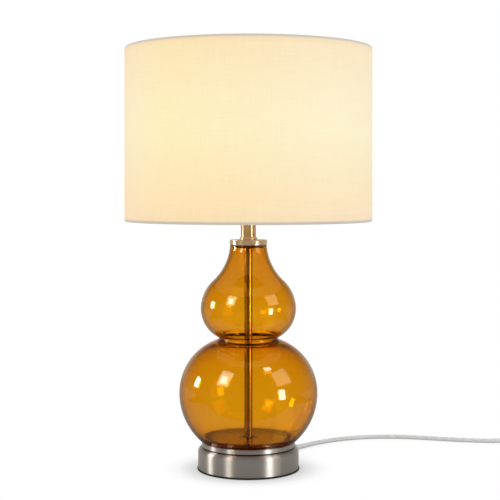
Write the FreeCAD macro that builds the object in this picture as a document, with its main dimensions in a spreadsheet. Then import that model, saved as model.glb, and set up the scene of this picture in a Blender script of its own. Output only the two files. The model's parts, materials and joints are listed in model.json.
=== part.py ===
import FreeCAD, Part
import Sketcher
import math
import operator
import os

from FreeCAD import Placement, Rotation, Vector

# Double gourd table lamp: a glass body clamped by a hollow rod between a weighted
# base and a cap, a lampholder above it, and a drum shade on a three-armed carrier.
# +Z is up, +Y is the back, the origin is the middle of the base on the table. Millimetres.

doc = FreeCAD.newDocument("double_gourd_lamp")
sheet = doc.addObject("Spreadsheet::Sheet", "Sizes")

driving_sizes = {
    # Base
    "pad_rim": 1.0,
    "pad_thickness": 2.0,
    "drum_ledge": 4.5,
    "drum_height": 24.6,
    "drum_wall": 1.2,
    "drum_shoulder": 5.0,
    "plate_thickness": 1.2,
    "weight_thickness": 15.0,
    "weight_bore": 44.0,
    "weight_gap": 0.5,
    "weight_round": 1.5,
    "channel_gap": 1.0,
    "seat_inset": 0.6,
    "seat_height": 6.8,
    "seat_wall": 2.0,
    "seat_groove_height": 1.2,
    "seat_groove_depth": 1.0,
    "seat_round": 0.8,
    # Glass, heights counted from its foot
    "glass_height": 237.0,
    "glass_wall": 3.5,
    "lower_gourd_diameter": 167.6,
    "lower_gourd_level": 58.1,
    "lower_gourd_under_arc": 76.6,
    "lower_gourd_over_arc": 67.5,
    "waist_arc": 2.0,
    "waist_bore": 62.0,
    "waist_thickening": 3.2,
    "waist_lower_round": 1.0,
    "waist_upper_round": 3.0,
    "upper_gourd_diameter": 115.4,
    "upper_gourd_level": 160.1,
    "upper_gourd_under_arc": 38.5,
    "upper_gourd_over_arc": 45.8,
    "neck_arc": 65.3,
    "lip_diameter": 44.2,
    "glass_floor": 4.0,
    "glass_floor_round": 12.0,
    "glass_heel": 2.0,
    "glass_push_up": 1.0,
    "glass_hole": 14.0,
    "grommet_flange": 24.0,
    "gasket_thickness": 0.6,
    "gasket_width": 8.0,
    "gasket_skirt": 3.0,
    "gasket_skirt_wall": 3.0,
    # Cap, collar, neck and rod
    "cap_diameter": 45.4,
    "cap_height": 5.9,
    "cap_round": 0.6,
    "collar_diameter": 21.2,
    "collar_height": 3.7,
    "collar_round": 1.8,
    "neck_diameter": 18.4,
    "neck_height": 22.8,
    "rod_diameter": 10.0,
    "rod_bore": 8.0,
    "rod_grip": 8.0,
    "rod_end": 0.5,
    "nut_across_flats": 17.0,
    "nut_thickness": 7.0,
    "washer_diameter": 30.0,
    "washer_thickness": 1.4,
    # Lampholder
    "dome_height": 18.0,
    "dome_diameter": 42.0,
    "dome_foot": 2.0,
    "dome_rim": 6.0,
    "dome_round": 6.0,
    "dome_root": 4.0,
    "holder_wall": 1.6,
    "spigot_height": 3.0,
    "ledge_height": 2.0,
    "ledge_width": 1.5,
    "flange_diameter": 46.0,
    "flange_thickness": 3.0,
    "skirt_diameter": 39.5,
    "skirt_height": 37.0,
    "skirt_wall": 2.0,
    "skirt_round": 0.8,
    "insert_floor": 8.0,
    "socket_bore": 27.4,
    "socket_wall": 1.9,
    "socket_depth": 27.0,
    "socket_round": 0.6,
    "ring_diameter": 56.0,
    "ring_flange": 2.2,
    "ring_height": 6.0,
    "ring_wall": 3.6,
    "ring_round": 0.8,
    "ring_grips": 12,
    "grip_radius": 2.6,
    "grip_offset": 1.2,
    "contact_post": 3.4,
    "contact_post_diameter": 6.0,
    "tab_width": 5.0,
    "tab_thickness": 0.8,
    "tab_inset": 1.0,
    "screw_spread": 10.5,
    "screw_head": 5.2,
    "screw_height": 2.4,
    # Bulb
    "tip_height": 2.0,
    "tip_diameter": 9.0,
    "insulator_height": 3.4,
    "insulator_plug": 3.0,
    "cap_shell_diameter": 26.4,
    "cap_shell_height": 24.0,
    "cap_shell_wall": 0.6,
    "globe_diameter": 60.0,
    "globe_level": 50.0,
    "globe_neck_arc": 35.0,
    "globe_wall": 1.0,
    "globe_seat": 4.0,
    # Shade
    "shade_diameter": 300.0,
    "shade_height": 210.0,
    "carrier_drop": 25.0,
    "fabric_thickness": 0.8,
    "liner_thickness": 0.5,
    "hem_width": 6.5,
    "hem_turn": 9.0,
    "notch_gap": 0.75,
    "hoop_wire": 4.0,
    "arm_wire": 3.5,
    "carrier_ring_diameter": 60.0,
    "carrier_ring_thickness": 2.0,
    "arm_count": 3,
    "arm_azimuth": 90.0,
    "arm_shelf": 18.0,
    "arm_foot": 18.0,
    "arm_bend": 12.0,
    "arm_root": 1.4,
    # Mains lead
    "lead_diameter": 5.0,
    "core_diameter": 2.0,
    "core_spread": 5.5,
    "core_depth": 4.0,
    "well_end_gap": 1.0,
    "lead_end": 1.5,
    "exit_height": 10.5,
    "exit_azimuth": 60.0,
    "boot_length": 23.0,
    "boot_root": 9.0,
    "boot_tip": 6.4,
    "bush_flange": 13.0,
    "bush_flange_thickness": 1.8,
    "bush_inner_gap": 0.6,
    "bush_inner_thickness": 1.7,
    "bush_inner_lip": 0.6,
    # Coil of the length that is put away
    "coil_across": 476.0,
    "coil_radius": 38.9,
    "coil_pitch": 5.5,
    "coil_turns_in": 3.25,
    "coil_level": 3.5,
    "coil_lead_in": 6.0,
    "tie_width": 6.0,
    "tie_thickness": 0.8,
    "tie_slack": 0.4,
    "tie_round": 2.0,
    # Switch on the lead
    "switch_across": 393.0,
    "switch_back": 153.0,
    "switch_length": 60.0,
    "switch_width": 24.0,
    "switch_height": 14.5,
    "switch_split": 6.0,
    "switch_wall": 2.0,
    "switch_roof": 1.6,
    "switch_corner": 6.0,
    "switch_under_round": 1.0,
    "switch_top_round": 2.2,
    "switch_hold": 4.0,
    "window_length": 15.8,
    "window_width": 11.0,
    "pivot_height": 10.8,
    "cheek_length": 9.0,
    "cheek_thickness": 1.8,
    "cheek_under": 1.2,
    "rocker_length": 14.6,
    "rocker_top": 12.8,
    "rocker_rise": 5.8,
    "rocker_dip": 4.2,
    "rocker_end": 2.0,
    "rocker_under": 0.9,
    "rocker_wall": 1.4,
    "rocker_pin": 3.0,
    "rocker_tilt": 10.0,
    "screw_across": 21.0,
    "screw_aside": 7.6,
    "post_diameter": 6.0,
    "screw_shank": 2.2,
    "screw_cap": 4.4,
    "screw_cap_height": 1.6,
    "screw_bite": 5.0,
    "switch_contact_length": 8.0,
    "switch_contact_width": 4.0,
    "switch_contact_height": 3.0,
    "switch_contact_offset": 8.0,
    # Plug
    "plug_across": 446.0,
    "plug_level": 6.95,
    "plug_length": 34.0,
    "plug_shoulder": 18.0,
    "plug_back_width": 16.0,
    "plug_width": 35.0,
    "plug_thickness": 13.7,
    "plug_corner": 4.0,
    "plug_round": 2.5,
    "plug_boot_length": 22.0,
    "plug_boot_root": 11.0,
    "plug_boot_overlap": 6.0,
    "pin_root": 8.0,
    "pin_neck": 0.6,
    "pin_tip_round": 1.2,
    "pin_diameter": 4.0,
    "pin_length": 19.0,
    "pin_spacing": 18.6,
    "sleeve_length": 10.0,
    "sleeve_diameter": 3.6,
    # Clearances
    "fit_gap": 0.1,
    "loose_gap": 0.3,
    "pin_gap": 0.05,
    "overcut": 1.0,
}

for row, (alias, number) in enumerate(driving_sizes.items(), start=1):
    sheet.set(f"A{row}", alias)
    sheet.set(f"B{row}", str(number))
    sheet.setAlias(f"B{row}", alias)
doc.recompute()


class Size:
    # A length with the sheet formula that it follows.
    def __init__(self, formula, value):
        self.formula = formula
        self.value = value

    def __add__(self, other):
        return joined(self, "+", other)

    def __radd__(self, other):
        return joined(other, "+", self)

    def __sub__(self, other):
        return joined(self, "-", other)

    def __rsub__(self, other):
        return joined(other, "-", self)

    def __mul__(self, other):
        return joined(self, "*", other)

    def __rmul__(self, other):
        return joined(other, "*", self)

    def __truediv__(self, other):
        return joined(self, "/", other)

    def __neg__(self):
        return joined(0.0, "-", self)


operations = {"+": operator.add, "-": operator.sub, "*": operator.mul, "/": operator.truediv}


def as_size(number):
    if isinstance(number, Size):
        return number
    return Size(str(float(number)), float(number))


def joined(left, sign, right):
    left = as_size(left)
    right = as_size(right)
    return Size(f"({left.formula} {sign} {right.formula})", operations[sign](left.value, right.value))


def root(size):
    return Size(f"sqrt({size.formula})", math.sqrt(size.value))


class Named:
    # Gives each sheet cell by its alias.
    def __getattr__(self, alias):
        return Size(f"Sizes.{alias}", float(sheet.get(alias)))


cell = Named()
nodes = []


def bind(item, path, size):
    item.setExpression(path, as_size(size).formula)


def named(item, label):
    item.Label = label
    nodes.append(item)
    return item


def lift(item, height):
    bind(item, "Placement.Base.z", height)


# Sketch and feature helpers

def new_body(label):
    return named(doc.addObject("PartDesign::Body", label), label)


def origin_part(body, role):
    return [item for item in body.Origin.OriginFeatures if item.Role == role][0]


def new_sketch(body, plane, offset=0.0):
    sketch = body.newObject("Sketcher::SketchObject", "Sketch")
    sketch.AttachmentSupport = (origin_part(body, plane), [""])
    sketch.MapMode = "FlatFace"
    bind(sketch, "AttachmentOffset.Base.z", offset)
    return sketch


def pin_point(sketch, shape, point, place):
    # Ties a point of a sketch to its two distances from the sketch's origin.
    for kind, axis, size in (("DistanceX", -2, place[0]), ("DistanceY", -1, place[1])):
        size = as_size(size)
        if size.formula == "0.0":
            sketch.addConstraint(Sketcher.Constraint("PointOnObject", shape, point, axis))
        else:
            index = sketch.addConstraint(Sketcher.Constraint(kind, -1, 1, shape, point, size.value))
            bind(sketch, f"Constraints[{index}]", size)


def draw_outline(sketch, corners):
    flat = [Vector(as_size(across).value, as_size(up).value, 0) for across, up in corners]
    count = len(corners)
    first = len(sketch.Geometry)
    for index in range(count):
        sketch.addGeometry(Part.LineSegment(flat[index], flat[(index + 1) % count]), False)
    for index in range(count):
        following = (index + 1) % count
        sketch.addConstraint(Sketcher.Constraint("Coincident", first + index, 2, first + following, 1))
    for index in range(count):
        pin_point(sketch, first + index, 1, corners[index])


def draw_circle(sketch, centre, radius):
    across, up = as_size(centre[0]), as_size(centre[1])
    radius = as_size(radius)
    middle = Vector(across.value, up.value, 0)
    shape = sketch.addGeometry(Part.Circle(middle, Vector(0, 0, 1), radius.value), False)
    pin_point(sketch, shape, 3, (across, up))
    index = sketch.addConstraint(Sketcher.Constraint("Radius", shape, radius.value))
    bind(sketch, f"Constraints[{index}]", radius)


def turned(body, corners):
    # Revolves an outline of (radius, height) corners about the vertical axis.
    sketch = new_sketch(body, "XZ_Plane")
    draw_outline(sketch, corners)
    return spun(body, sketch, "PartDesign::Revolution")


def spun(body, sketch, kind, axis="V_Axis"):
    feature = body.newObject(kind, kind.split("::")[1])
    feature.Profile = sketch
    feature.ReferenceAxis = (sketch, [axis])
    feature.Angle = 360.0
    doc.recompute()
    return feature


def padded(body, sketch, length):
    feature = body.newObject("PartDesign::Pad", "Pad")
    feature.Profile = sketch
    bind(feature, "Length", length)
    doc.recompute()
    return feature


def pocketed(body, sketch, depth, reverse=False, both_ways=False):
    before = body.Shape.Volume
    feature = body.newObject("PartDesign::Pocket", "Pocket")
    feature.Profile = sketch
    feature.Reversed = reverse
    feature.Midplane = both_ways
    bind(feature, "Length", depth)
    doc.recompute()
    if body.Shape.Volume >= before:
        raise RuntimeError(f"{body.Label}: a pocket cuts nothing")
    return feature


def rounded(body, base, wanted, radius, kind="Fillet"):
    names = [f"Edge{number}" for number, edge in enumerate(base.Shape.Edges, start=1) if wanted(edge)]
    feature = body.newObject(f"PartDesign::{kind}", kind)
    feature.Base = (base, names)
    bind(feature, "Radius" if kind == "Fillet" else "Size", radius)
    doc.recompute()
    return feature


def repeated(body, feature, count, axis="Z_Axis"):
    pattern = body.newObject("PartDesign::PolarPattern", "PolarPattern")
    pattern.Originals = [feature]
    pattern.Axis = (origin_part(body, axis), [""])
    pattern.Angle = 360.0
    bind(pattern, "Occurrences", count)
    body.Tip = pattern
    doc.recompute()
    return pattern


near = 0.001


def is_ring(radius, height):
    # Picks the circular edge of a turned body at a radius and a height.
    radius, height = as_size(radius).value, as_size(height).value

    def wanted(edge):
        curve = edge.Curve
        if not isinstance(curve, Part.Circle):
            return False
        return abs(curve.Radius - radius) < near and abs(curve.Center.z - height) < near

    return wanted


def at_height(height, shortest=0.0):
    # Picks the edges that lie wholly at a height.
    height = as_size(height).value

    def wanted(edge):
        box = edge.BoundBox
        return abs(box.ZMin - height) < near and abs(box.ZMax - height) < near and edge.Length > shortest

    return wanted


def is_upright(edge):
    box = edge.BoundBox
    return box.ZLength > near and box.XLength < near and box.YLength < near


def cylinder(label, radius, height, level=0.0, keep=True):
    item = doc.addObject("Part::Cylinder", label)
    bind(item, "Radius", radius)
    bind(item, "Height", height)
    bind(item, "Placement.Base.z", level)
    return named(item, label) if keep else item


def block(label, sides, corner):
    item = doc.addObject("Part::Box", label)
    for name, size in zip(("Length", "Width", "Height"), sides):
        bind(item, name, size)
    for name, size in zip("xyz", corner):
        bind(item, f"Placement.Base.{name}", size)
    return item


def cut(label, base, tool):
    item = doc.addObject("Part::Cut", label)
    item.Base = base
    item.Tool = tool
    return named(item, label)


# Levels of the stack, from the table up

drum_top = cell.pad_thickness + cell.drum_height
seat_top = drum_top + cell.seat_height
glass_foot = seat_top + cell.gasket_thickness
glass_top = glass_foot + cell.glass_height
cap_bottom = glass_top + cell.gasket_thickness
cap_top = cap_bottom + cell.cap_height
neck_bottom = cap_top + cell.collar_height
holder_bottom = neck_bottom + cell.neck_height
flange_bottom = holder_bottom + cell.dome_height
carrier_seat = flange_bottom + cell.flange_thickness
shade_bottom = carrier_seat - cell.carrier_drop
shade_top = shade_bottom + cell.shade_height
rod_radius = cell.rod_diameter / 2
rod_hole = rod_radius + cell.fit_gap
washer_bottom = drum_top - cell.drum_wall - cell.washer_thickness
nut_bottom = washer_bottom - cell.nut_thickness
rod_bottom = nut_bottom - cell.rod_end


# Radii of the base, which follow the foot of the glass

under_centre = cell.lower_gourd_diameter / 2 - cell.lower_gourd_under_arc
under_arc = cell.lower_gourd_under_arc
inner_under_arc = cell.lower_gourd_under_arc - cell.glass_wall


def glass_across(arc, height):
    # Radius of the lower gourd's wall, on the outer arc or one set in from it, at a height.
    drop = cell.lower_gourd_level - height
    return under_centre + root(arc * arc - drop * drop)


foot_radius = glass_across(under_arc, 0.0)
gasket_radius = glass_across(inner_under_arc, 0.0)
gasket_bore = gasket_radius - cell.gasket_width
seat_radius = foot_radius - cell.seat_inset
drum_radius = seat_radius + cell.drum_ledge
pad_radius = drum_radius + cell.pad_rim


# Base

def make_base():
    inside = drum_radius - cell.drum_wall

    cylinder("base_pad", pad_radius, cell.pad_thickness)

    plate_radius = inside - cell.loose_gap
    cylinder("bottom_plate", plate_radius, cell.plate_thickness, cell.pad_thickness)

    shell = new_body("base_shell")
    roof = cell.drum_height - cell.drum_wall
    drum = turned(shell, [
        (rod_hole, cell.drum_height), (rod_hole, roof), (inside, roof), (inside, 0.0),
        (drum_radius, 0.0), (drum_radius, cell.drum_height),
    ])
    shoulder = rounded(shell, drum, is_ring(drum_radius, cell.drum_height), cell.drum_shoulder)
    inner_shoulder = cell.drum_shoulder - cell.drum_wall
    rounded(shell, shoulder, is_ring(inside, roof), inner_shoulder)
    outlet = new_sketch(shell, "YZ_Plane", drum_radius + cell.overcut)
    draw_circle(outlet, (0.0, cell.exit_height - cell.pad_thickness), cell.boot_root / 2 + cell.fit_gap)
    pocketed(shell, outlet, cell.drum_wall + 2 * cell.overcut)
    lift(shell, cell.pad_thickness)
    turn(shell, cell.exit_azimuth)

    weight = new_body("base_weight")
    weight_outside = inside - cell.weight_gap
    ring = turned(weight, [
        (cell.weight_bore / 2, 0.0), (weight_outside, 0.0),
        (weight_outside, cell.weight_thickness), (cell.weight_bore / 2, cell.weight_thickness),
    ])
    rounded(weight, ring, is_ring(weight_outside, cell.weight_thickness), cell.weight_round)
    weight_bottom = cell.pad_thickness + cell.plate_thickness
    channel = new_sketch(weight, "XZ_Plane")
    half_width = cell.boot_root / 2 + cell.channel_gap
    channel_top = cell.exit_height - weight_bottom + half_width
    channel_start = cell.weight_bore / 2 - cell.overcut
    draw_outline(channel, [
        (channel_start, 0.0), (drum_radius, 0.0), (drum_radius, channel_top), (channel_start, channel_top),
    ])
    pocketed(weight, channel, half_width * 2, both_ways=True)
    lift(weight, weight_bottom)
    turn(weight, cell.exit_azimuth)


def turn(item, azimuth):
    item.Placement.Rotation = Rotation(Vector(0, 0, 1), as_size(azimuth).value)
    bind(item, "Placement.Rotation.Angle", azimuth)


def make_clamp():
    thickness = cell.washer_thickness
    washer = cylinder("washer_disc", cell.washer_diameter / 2, thickness, washer_bottom, keep=False)
    washer_hole = cylinder("washer_hole", rod_hole, thickness, washer_bottom, keep=False)
    cut("lower_washer", washer, washer_hole)

    prism = doc.addObject("Part::Prism", "nut_prism")
    prism.Polygon = 6
    bind(prism, "Circumradius", cell.nut_across_flats / math.sqrt(3))
    bind(prism, "Height", cell.nut_thickness)
    bind(prism, "Placement.Base.z", nut_bottom)
    nut_bore = rod_radius + cell.pin_gap
    nut_hole = cylinder("nut_hole", nut_bore, cell.nut_thickness, nut_bottom, keep=False)
    cut("lower_nut", prism, nut_hole)

    rod_height = holder_bottom + cell.rod_grip - rod_bottom
    rod = cylinder("rod_bar", rod_radius, rod_height, rod_bottom, keep=False)
    bore = cylinder("rod_bore", cell.rod_bore / 2, rod_height, rod_bottom, keep=False)
    cut("centre_rod", rod, bore)


# Glass body and what seats it

lip_bore = cell.lip_diameter / 2 - cell.glass_wall


def make_seat():
    seat = new_body("glass_seat")
    wall = cell.seat_wall
    groove = cell.seat_groove_height
    groove_radius = seat_radius - cell.seat_groove_depth
    dish = turned(seat, [
        (groove_radius, 0.0), (groove_radius, groove), (seat_radius, groove),
        (seat_radius, cell.seat_height), (rod_hole, cell.seat_height),
        (rod_hole, cell.seat_height - wall), (seat_radius - wall, cell.seat_height - wall),
        (seat_radius - wall, 0.0),
    ])
    rounded(seat, dish, is_ring(seat_radius, cell.seat_height), cell.seat_round)
    lift(seat, drum_top)

    gasket = new_body("lower_gasket")
    thickness = cell.gasket_thickness
    turned(gasket, [
        (gasket_bore, 0.0), (gasket_radius, 0.0), (gasket_radius, thickness), (gasket_bore, thickness),
    ])
    lift(gasket, seat_top)

    grommet = new_body("glass_grommet")
    flange_top = cell.gasket_thickness + cell.glass_push_up
    collar = cell.glass_hole / 2 - cell.fit_gap
    collar_top = cell.gasket_thickness + cell.glass_floor
    flange_radius = cell.grommet_flange / 2
    turned(grommet, [
        (rod_hole, 0.0), (flange_radius, 0.0), (flange_radius, flange_top), (collar, flange_top),
        (collar, collar_top), (rod_hole, collar_top),
    ])
    lift(grommet, seat_top)

    upper = new_body("upper_gasket")
    flange = cell.lip_diameter / 2 - cell.fit_gap
    skirt = lip_bore - cell.fit_gap
    skirt_bore = skirt - cell.gasket_skirt_wall
    upper_height = cell.gasket_skirt + cell.gasket_thickness
    turned(upper, [
        (skirt_bore, 0.0), (skirt, 0.0), (skirt, cell.gasket_skirt), (flange, cell.gasket_skirt),
        (flange, upper_height), (skirt_bore, upper_height),
    ])
    lift(upper, glass_top - cell.gasket_skirt)


def circle_join(low_centre, low_reach, high_centre, high_reach):
    # The centre, on the outer side, of a circle that touches two circles from outside.
    span = high_centre - low_centre
    gap = span.Length
    along = (low_reach ** 2 - high_reach ** 2 + gap ** 2) / (2 * gap)
    aside = math.sqrt(low_reach ** 2 - along ** 2)
    forward = span / gap
    return low_centre + forward * along + Vector(forward.y, -forward.x, 0) * aside


def gourd_arcs(inset, thickening=0.0):
    # First guess of the six arcs from foot to lip, set in from the outer skin by inset.
    # The inner skin has a straight bore through the waist, where the glass thickens to a ring.
    value = {alias: float(sheet.get(alias)) for alias in driving_sizes}
    lower_radius = value["lower_gourd_diameter"] / 2 - inset
    upper_radius = value["upper_gourd_diameter"] / 2 - inset
    reach = [value["lower_gourd_under_arc"] - inset, value["lower_gourd_over_arc"] - inset - thickening,
             value["waist_arc"] + inset, value["upper_gourd_under_arc"] - inset,
             value["upper_gourd_over_arc"] - inset, value["neck_arc"] + inset]
    centres = [Vector(lower_radius - reach[0], value["lower_gourd_level"], 0),
               Vector(lower_radius - reach[1], value["lower_gourd_level"], 0), None,
               Vector(upper_radius - reach[3], value["upper_gourd_level"], 0),
               Vector(upper_radius - reach[4], value["upper_gourd_level"], 0), None]
    centres[2] = circle_join(centres[1], reach[1] + reach[2], centres[3], reach[3] + reach[2])
    lip = value["lip_diameter"] / 2 - inset
    neck_across = lip + reach[5]
    neck_up = math.sqrt((reach[4] + reach[5]) ** 2 - (neck_across - centres[4].x) ** 2)
    centres[5] = Vector(neck_across, centres[4].y + neck_up, 0)
    joints = [
        Vector(centres[0].x + math.sqrt(reach[0] ** 2 - centres[0].y ** 2), 0, 0),
        Vector(lower_radius, centres[0].y, 0),
        centres[1] + (centres[2] - centres[1]) * (reach[1] / (reach[1] + reach[2])),
        centres[3] + (centres[2] - centres[3]) * (reach[3] / (reach[3] + reach[2])),
        Vector(upper_radius, centres[3].y, 0),
        centres[4] + (centres[5] - centres[4]) * (reach[4] / (reach[4] + reach[5])),
        Vector(lip, value["glass_height"], 0),
    ]
    if thickening:
        bore = value["waist_bore"] / 2
        rise = math.sqrt(reach[1] ** 2 - (bore - centres[1].x) ** 2)
        drop = math.sqrt(reach[3] ** 2 - (bore - centres[3].x) ** 2)
        joints[2] = Vector(bore, centres[1].y + rise, 0)
        joints[3] = Vector(bore, centres[3].y - drop, 0)
    return centres, reach, joints


def draw_gourd(sketch, inset, formulas, thickening=0.0):
    # Six arcs joined by tangents; the waist and the neck are hollow, so they run the other way.
    centres, reach, joints = gourd_arcs(inset, thickening)
    hollow = (2, 5)
    straight = (2,) if thickening else ()
    arcs, lows, highs = [], [], []
    for index in range(6):
        if index in straight:
            arcs.append(sketch.addGeometry(Part.LineSegment(joints[2], joints[3]), False))
            lows.append(1)
            highs.append(2)
            continue
        middle = centres[index]
        low, high = joints[index] - middle, joints[index + 1] - middle
        angles = [math.atan2(low.y, low.x), math.atan2(high.y, high.x)]
        if index in hollow:
            angles = [angle % (2 * math.pi) for angle in reversed(angles)]
        circle = Part.Circle(middle, Vector(0, 0, 1), reach[index])
        arcs.append(sketch.addGeometry(Part.ArcOfCircle(circle, angles[0], angles[1]), False))
        lows.append(2 if index in hollow else 1)
        highs.append(1 if index in hollow else 2)
    for index in range(1, 6):
        met = index in straight or index - 1 in straight
        sketch.addConstraint(Sketcher.Constraint(
            "Coincident" if met else "Tangent", arcs[index - 1], highs[index - 1], arcs[index], lows[index]))
    for index in range(6):
        if index in straight:
            sketch.addConstraint(Sketcher.Constraint("Vertical", arcs[index]))
            rule = sketch.addConstraint(Sketcher.Constraint("DistanceX", -1, 1, arcs[index], 1, joints[index].x))
            bind(sketch, f"Constraints[{rule}]", cell.waist_bore / 2)
            continue
        rule = sketch.addConstraint(Sketcher.Constraint("Radius", arcs[index], reach[index]))
        bind(sketch, f"Constraints[{rule}]", formulas["reach"][index])
    sketch.addConstraint(Sketcher.Constraint("PointOnObject", arcs[0], lows[0], -1))
    pin_point(sketch, arcs[0], highs[0], (formulas["lower_radius"], cell.lower_gourd_level))
    sketch.addConstraint(Sketcher.Constraint("Horizontal", arcs[0], 3, arcs[0], highs[0]))
    pin_point(sketch, arcs[3], highs[3], (formulas["upper_radius"], cell.upper_gourd_level))
    sketch.addConstraint(Sketcher.Constraint("Horizontal", arcs[3], 3, arcs[3], highs[3]))
    level = sketch.addConstraint(Sketcher.Constraint("DistanceY", -1, 1, arcs[5], highs[5], joints[6].y))
    bind(sketch, f"Constraints[{level}]", cell.glass_height)
    across = sketch.addConstraint(Sketcher.Constraint("DistanceX", -1, 1, arcs[5], 3, centres[5].x))
    bind(sketch, f"Constraints[{across}]", formulas["neck_across"])
    return (arcs[0], lows[0]), (arcs[5], highs[5]), joints


def gourd_formulas(inset, thickening=0.0):
    reach = [cell.lower_gourd_under_arc - inset, cell.lower_gourd_over_arc - inset - thickening,
             cell.waist_arc + inset, cell.upper_gourd_under_arc - inset,
             cell.upper_gourd_over_arc - inset, cell.neck_arc + inset]
    return {
        "reach": reach,
        "lower_radius": cell.lower_gourd_diameter / 2 - inset,
        "upper_radius": cell.upper_gourd_diameter / 2 - inset,
        "neck_across": cell.lip_diameter / 2 + cell.neck_arc,
    }


def make_glass():
    glass = new_body("glass_body")
    sketch = new_sketch(glass, "XZ_Plane")
    outer_foot, outer_lip, outer = draw_gourd(sketch, 0.0, gourd_formulas(as_size(0.0)))
    wall = cell.glass_wall
    thickening = cell.waist_thickening
    formulas = gourd_formulas(wall, thickening)
    inner_foot, inner_lip, inner = draw_gourd(sketch, wall.value, formulas, thickening.value)
    for start, end, place_a, place_b in ((outer_lip, inner_lip, outer[6], inner[6]),
                                         (inner_foot, outer_foot, inner[0], outer[0])):
        line = sketch.addGeometry(Part.LineSegment(place_a, place_b), False)
        sketch.addConstraint(Sketcher.Constraint("Coincident", start[0], start[1], line, 1))
        sketch.addConstraint(Sketcher.Constraint("Coincident", line, 2, end[0], end[1]))
    spun(glass, sketch, "PartDesign::Revolution")

    hole = cell.glass_hole / 2
    floor = cell.glass_floor
    middle_arc = under_arc - wall / 2
    bottom = turned(glass, [
        (hole, cell.glass_push_up), (gasket_bore, cell.glass_push_up), (gasket_bore, 0.0),
        (glass_across(middle_arc, 0.0), 0.0), (glass_across(middle_arc, floor), floor), (hole, floor),
    ])
    round_the_hole = math.pi * cell.grommet_flange.value
    corner = rounded(glass, bottom, at_height(floor, shortest=round_the_hole), cell.glass_floor_round)
    heel = rounded(glass, corner, is_ring(foot_radius, 0.0), cell.glass_heel)

    bore = cell.waist_bore / 2
    low_reach, high_reach = formulas["reach"][1], formulas["reach"][3]
    low_out = bore - (formulas["lower_radius"] - low_reach)
    high_out = bore - (formulas["upper_radius"] - high_reach)
    ring_foot = cell.lower_gourd_level + root(low_reach * low_reach - low_out * low_out)
    ring_top = cell.upper_gourd_level - root(high_reach * high_reach - high_out * high_out)
    lower = rounded(glass, heel, is_ring(bore, ring_foot), cell.waist_lower_round)
    rounded(glass, lower, is_ring(bore, ring_top), cell.waist_upper_round)
    lift(glass, glass_foot)


# Cap, collar and neck

def make_neck():
    top_cap = new_body("top_cap")
    cap_radius = cell.cap_diameter / 2
    disc = turned(top_cap, [
        (rod_hole, 0.0), (cap_radius, 0.0), (cap_radius, cell.cap_height), (rod_hole, cell.cap_height),
    ])
    rim = rounded(top_cap, disc, is_ring(cap_radius, cell.cap_height), cell.cap_round)
    rounded(top_cap, rim, is_ring(cap_radius, 0.0), cell.cap_round)
    lift(top_cap, cap_bottom)

    collar = new_body("neck_collar")
    collar_radius = cell.collar_diameter / 2
    height = cell.collar_height
    bead = turned(collar, [
        (rod_hole, 0.0), (collar_radius, 0.0), (collar_radius, height), (rod_hole, height),
    ])
    lower = rounded(collar, bead, is_ring(collar_radius, 0.0), cell.collar_round)
    rounded(collar, lower, is_ring(collar_radius, height), cell.collar_round)
    lift(collar, cap_top)

    neck = cylinder("neck_bar", cell.neck_diameter / 2, cell.neck_height, neck_bottom, keep=False)
    hole = cylinder("neck_hole", rod_hole, cell.neck_height, neck_bottom, keep=False)
    cut("neck_tube", neck, hole)


# Lampholder

skirt_radius = cell.skirt_diameter / 2
insert_bottom = flange_bottom - cell.spigot_height + cell.ledge_height
insert_top = insert_bottom + cell.insert_floor
socket_radius = cell.socket_bore / 2


def make_lampholder():
    base = new_body("lampholder_base")
    foot = cell.neck_diameter / 2
    rim = cell.dome_diameter / 2
    inside = rim - cell.holder_wall
    shoulder = cell.dome_height - cell.dome_rim
    rod_fit = rod_radius + cell.pin_gap
    dome = turned(base, [
        (rod_fit, 0.0), (foot, 0.0), (foot, cell.dome_foot), (rim, shoulder), (rim, cell.dome_height),
        (inside, cell.dome_height), (inside, shoulder), (foot + cell.dome_root, cell.rod_grip),
        (rod_fit, cell.rod_grip),
    ])
    rounded(base, dome, is_ring(rim, shoulder), cell.dome_round)
    lift(base, holder_bottom)

    skirt = new_body("lampholder_skirt")
    bore = skirt_radius - cell.skirt_wall
    ledge = cell.ledge_height
    ledge_bore = bore - cell.ledge_width
    spigot = cell.spigot_height
    spigot_radius = inside - cell.fit_gap
    top = spigot + cell.flange_thickness + cell.skirt_height
    flange = cell.flange_diameter / 2
    tube = turned(skirt, [
        (ledge_bore, 0.0), (spigot_radius, 0.0), (spigot_radius, spigot), (flange, spigot),
        (flange, spigot + cell.flange_thickness), (skirt_radius, spigot + cell.flange_thickness),
        (skirt_radius, top), (bore, top), (bore, ledge), (ledge_bore, ledge),
    ])
    rounded(skirt, tube, is_ring(skirt_radius, top), cell.skirt_round)
    lift(skirt, flange_bottom - spigot)

    insert = new_body("lampholder_insert")
    seat = bore - cell.fit_gap
    sleeve = socket_radius + cell.socket_wall
    block_top = cell.insert_floor + cell.socket_depth
    cup = turned(insert, [
        (0.0, 0.0), (seat, 0.0), (seat, cell.insert_floor), (sleeve, cell.insert_floor), (sleeve, block_top),
        (socket_radius, block_top), (socket_radius, cell.insert_floor), (0.0, cell.insert_floor),
    ])
    rounded(insert, cup, is_ring(socket_radius, block_top), cell.socket_round)
    wells = new_sketch(insert, "XY_Plane")
    for side in (-1, 1):
        draw_circle(wells, (side * cell.core_spread, 0.0), cell.core_diameter / 2 + cell.fit_gap)
    pocketed(insert, wells, cell.core_depth + cell.well_end_gap, reverse=True)
    lift(insert, insert_bottom)


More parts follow.
